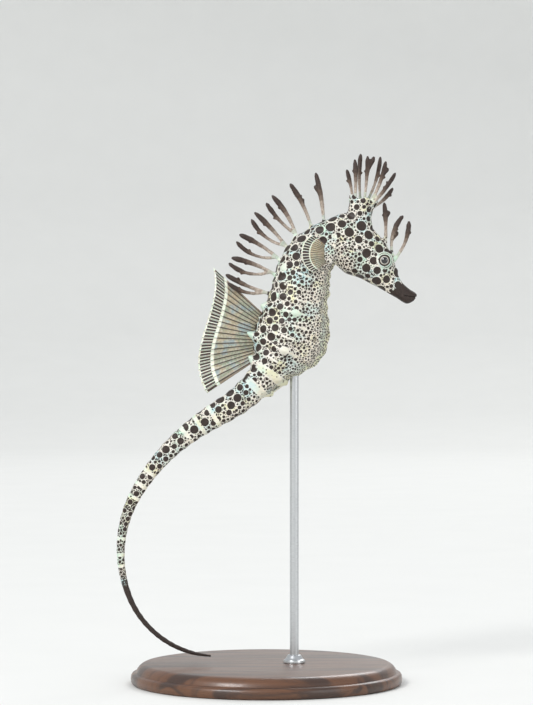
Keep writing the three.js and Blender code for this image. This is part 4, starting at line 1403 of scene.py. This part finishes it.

# %% [markdown]
# ## Fins
# The grid's UV map runs across the rays and out to the edge. From the foot outwards come a
# grey-green and beige web over brown rays, a pale band, a row of dark bars and a white margin.
# Shade is painted on the web: it is darker towards the foot and beside each ray.

# %% Fin finishes
def fin_finish(name, rays, bars_per_ray, bar_start, bar_end, tints):
    f = Finish(name, Subsurface_Weight=0.15, Subsurface_Scale=0.4 * MM, Coat_Weight=0.3, Coat_Roughness=0.2)
    uv, at = f.place("UV"), f.place()
    across, out = (f.node("ShaderNodeSeparateXYZ", None, axis, Vector=uv) for axis in "XY")
    on_ray, on_bar = (0.5 - 0.5 * (across * (2 * math.pi * count)).math("COSINE")
                      for count in (rays, rays * bars_per_ray))
    row = out + 0.02 * (f.noise(at, 2.0) - 0.5)
    web = f.layers(
        tints[0],
        (f.rise(f.noise(at, 4.0), 0.42, 0.6), tints[1]),
        (f.rise(f.noise(f.moved(at, (0.02, 0, 0.01)), 4.5), 0.5, 0.62) * 0.8, tints[2]),
        (f.rise(f.noise(at, 0.6, 3.0), 0.4, 0.7) * 0.5, "#c9c4b2"),
        # Painted shade: the web darkens towards its foot, where it meets the body.
        (f.rise(out, 0.5, 0.0) * 0.45, "#86755b"),
        (f.rise((across - 0.5).size(), 0.43, 0.49) * 0.75, "#8d7766"),
        # Painted shade: a soft darker strip beside each ray, where the web meets it.
        (f.rise(on_ray, 0.5, 0.95) * 0.3, "#6d6353"),
    )
    ray = f.rise(on_ray + 0.14 * (1 - out) + 0.06 * (f.noise(at, 0.7) - 0.5), 0.9, 0.95)
    band = f.rise(row, bar_start - 0.055, bar_start - 0.035)
    bars = f.rise(on_bar, 0.08, 0.2) * f.rise(row, bar_start, bar_start + 0.015)
    if bars_per_ray > 1:
        # Each ray runs on as a thin line through the band, and parts the bars.
        band = band * (1 - 0.9 * f.rise(on_ray, 0.972, 0.988))
        bars = bars * f.rise(on_ray, 0.93, 0.87)
    f.feed(
        Base_Color=f.layers(
            web,
            (ray * 0.95, "#33271f"),
            (band, "#dfe4d3"),
            (bars * f.rise(row, bar_end, bar_end - 0.015), BROWN),
            (f.rise(out, bar_end + 0.005, bar_end + 0.02), "#dcdccb"),
        ),
        Roughness=0.4 + 0.2 * f.noise(at, 1.0),
        Normal=f.relief((f.noise(at, 0.5, 3.0), 0.04), (on_ray, 0.05)),
    )
    print(name, "finish:", len(f.tree.nodes), "nodes")
    return f


GREY_WEB, WARM_WEB = ("#868d78", "#a0957c", "#8298a0"), ("#b0a282", "#c2b59a", "#a3a592")
fin_finish("dorsal_web", DORSAL_RAYS, 2, 0.8, 0.982, GREY_WEB).onto(dorsal)
fin_finish("pectoral_web", PECTORAL_RAYS, 1, 0.7, 0.97, WARM_WEB).onto(*pectorals)
fin_finish("anal_web", ANAL_RAYS, 2, 0.6, 0.9, WARM_WEB).onto(anal)

# %% [markdown]
# ## Wood and steel
# The base is dark walnut. Its grain runs along X, as a plank's does: noise stretched along the
# grain, with fine pores. The rod is brushed steel, with a fine grain round it.

# %% Stand finishes
f = Finish("walnut", Coat_Weight=0.35, Coat_Roughness=0.18)
at = f.place()
rings = f.noise(f.moved(at, scale=(0.05, 1.0, 0.6)), 5.0, 3.0, Distortion=0.6)
fibres = f.noise(f.moved(at, scale=(0.03, 1.0, 1.0)), 0.35, 3.0)
pores = f.rise(f.noise(f.moved(at, scale=(0.06, 1.0, 1.0)), 0.22), 0.62, 0.72)
f.feed(
    Base_Color=f.layers(
        "#3b2417",
        (f.rise((rings * 14).wave(), -0.9, 1.0), "#6b4429"),
        (fibres * 0.5, "#2e1b11"),
        (pores * 0.7, "#1c100a"),
    ),
    Roughness=0.3 + 0.2 * fibres,
    Normal=f.relief((fibres - 0.5 * pores, 0.03)),
)
f.onto(base)

f = Finish("brushed_steel", Metallic=1.0)
brushed = f.noise(f.moved(f.place(), scale=(0.1, 0.1, 1.0)), 0.12)
f.feed(
    Base_Color=f.layers("#b3b5b7", (brushed, "#d6d8da")),
    Roughness=0.22 + 0.16 * brushed,
    Normal=f.relief((brushed, 0.006)),
)
f.onto(rod, collar)
print("finishes:", len(bpy.data.materials))

# %% [markdown]
# ## Floor and light
# A plain pale floor curves up all round, like a photographer's cove. Three large soft lamps stand
# well back: one high on the left, a weaker one on the right, and one behind for the outline.

# %% Floor and lamps
COVE = [(1.9, 0.0), (2.2, 0.03), (2.5, 0.12), (2.75, 0.3), (2.9, 0.6), (3.0, 1.3)]
floor = add("floor", "circle", vertices=96, radius=COVE[0][0], fill_type="NGON")
edit(floor)
bpy.ops.mesh.select_mode(type="EDGE")
pick_all()
bpy.ops.mesh.region_to_loop()
for (radius, height), (new_radius, new_height) in zip(COVE, COVE[1:]):
    bpy.ops.mesh.extrude_edges_move(TRANSFORM_OT_translate={"value": (0, 0, new_height - height)})
    resize((new_radius / radius, new_radius / radius, 1))
leave_edit()
bpy.ops.object.shade_smooth()
floor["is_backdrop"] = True
f = Finish("floor", Roughness=0.8)
f.feed(Base_Color=f.layers("#dededb", (f.noise(f.place(), 40.0), "#e2e2df")))
f.onto(floor)


def lamp(name, at, size, power, aim=(0, 0, 0.09)):
    data = bpy.data.lights.new(name, "AREA")
    data.size, data.energy = size, power
    piece = bpy.data.objects.new(name, data)
    scene.collection.objects.link(piece)
    piece.location = at
    piece.rotation_euler = (Vector(aim) - Vector(at)).to_track_quat("-Z", "Y").to_euler()


lamp("key", (-1.2, -1.6, 1.5), 0.8, 40)
lamp("fill", (1.7, -1.3, 0.7), 1.2, 8)
lamp("back", (0.6, 1.8, 1.6), 1.0, 16)
AIR, AIR_STRENGTH = (0.93, 0.96, 1.0, 1), 0.72
world = bpy.data.worlds.new("studio")
world.use_nodes = True
background = world.node_tree.nodes["Background"]
background.inputs["Color"].default_value = AIR
background.inputs["Strength"].default_value = AIR_STRENGTH
scene.world = world
scene.view_settings.view_transform = "Standard"

# %% [markdown]
# ## Onto the body
# Each new piece rides on the one body of this still model, and stands for the solid nodes it
# covers.

# %% Ride and replace
FLESH = ["head", "coronet", "snout", "jaw", "neck", "chest", "belly", "hips"]
FLESH += [f"tail_{n}" for n in range(1, 8)]
FLESH += [f"crown_frond_{n}" for n in range(1, 10)]
FLESH += [f"brow_frond_{n}" for n in range(1, 4)] + [f"mane_frond_{n}" for n in range(1, 8)]
for piece, slot, nodes in (
    (skin, "skin", FLESH),
    (eyes[0], "eye", ["eye_l"]),
    (eyes[1], "eye", ["eye_r"]),
    (dorsal, "fin", ["dorsal_fin"]),
    (pectorals[0], "fin", ["pectoral_fin_l"]),
    (pectorals[1], "fin", ["pectoral_fin_r"]),
    (anal, "fin", ["anal_fin"]),
    (base, "stand_wood", ["stand_base"]),
    (collar, "stand_steel", ["stand_collar"]),
    (rod, "stand_steel", ["stand_rod"]),
):
    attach(piece, "root")
    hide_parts(*nodes)

low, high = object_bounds()
{"cad": [list(cad_low), list(cad_high)], "visual": [list(low), list(high)]}
print("CAD box, mm:   ", in_mm(*cad_low, *cad_high))
print("visual box, mm:", in_mm(*low, *high))
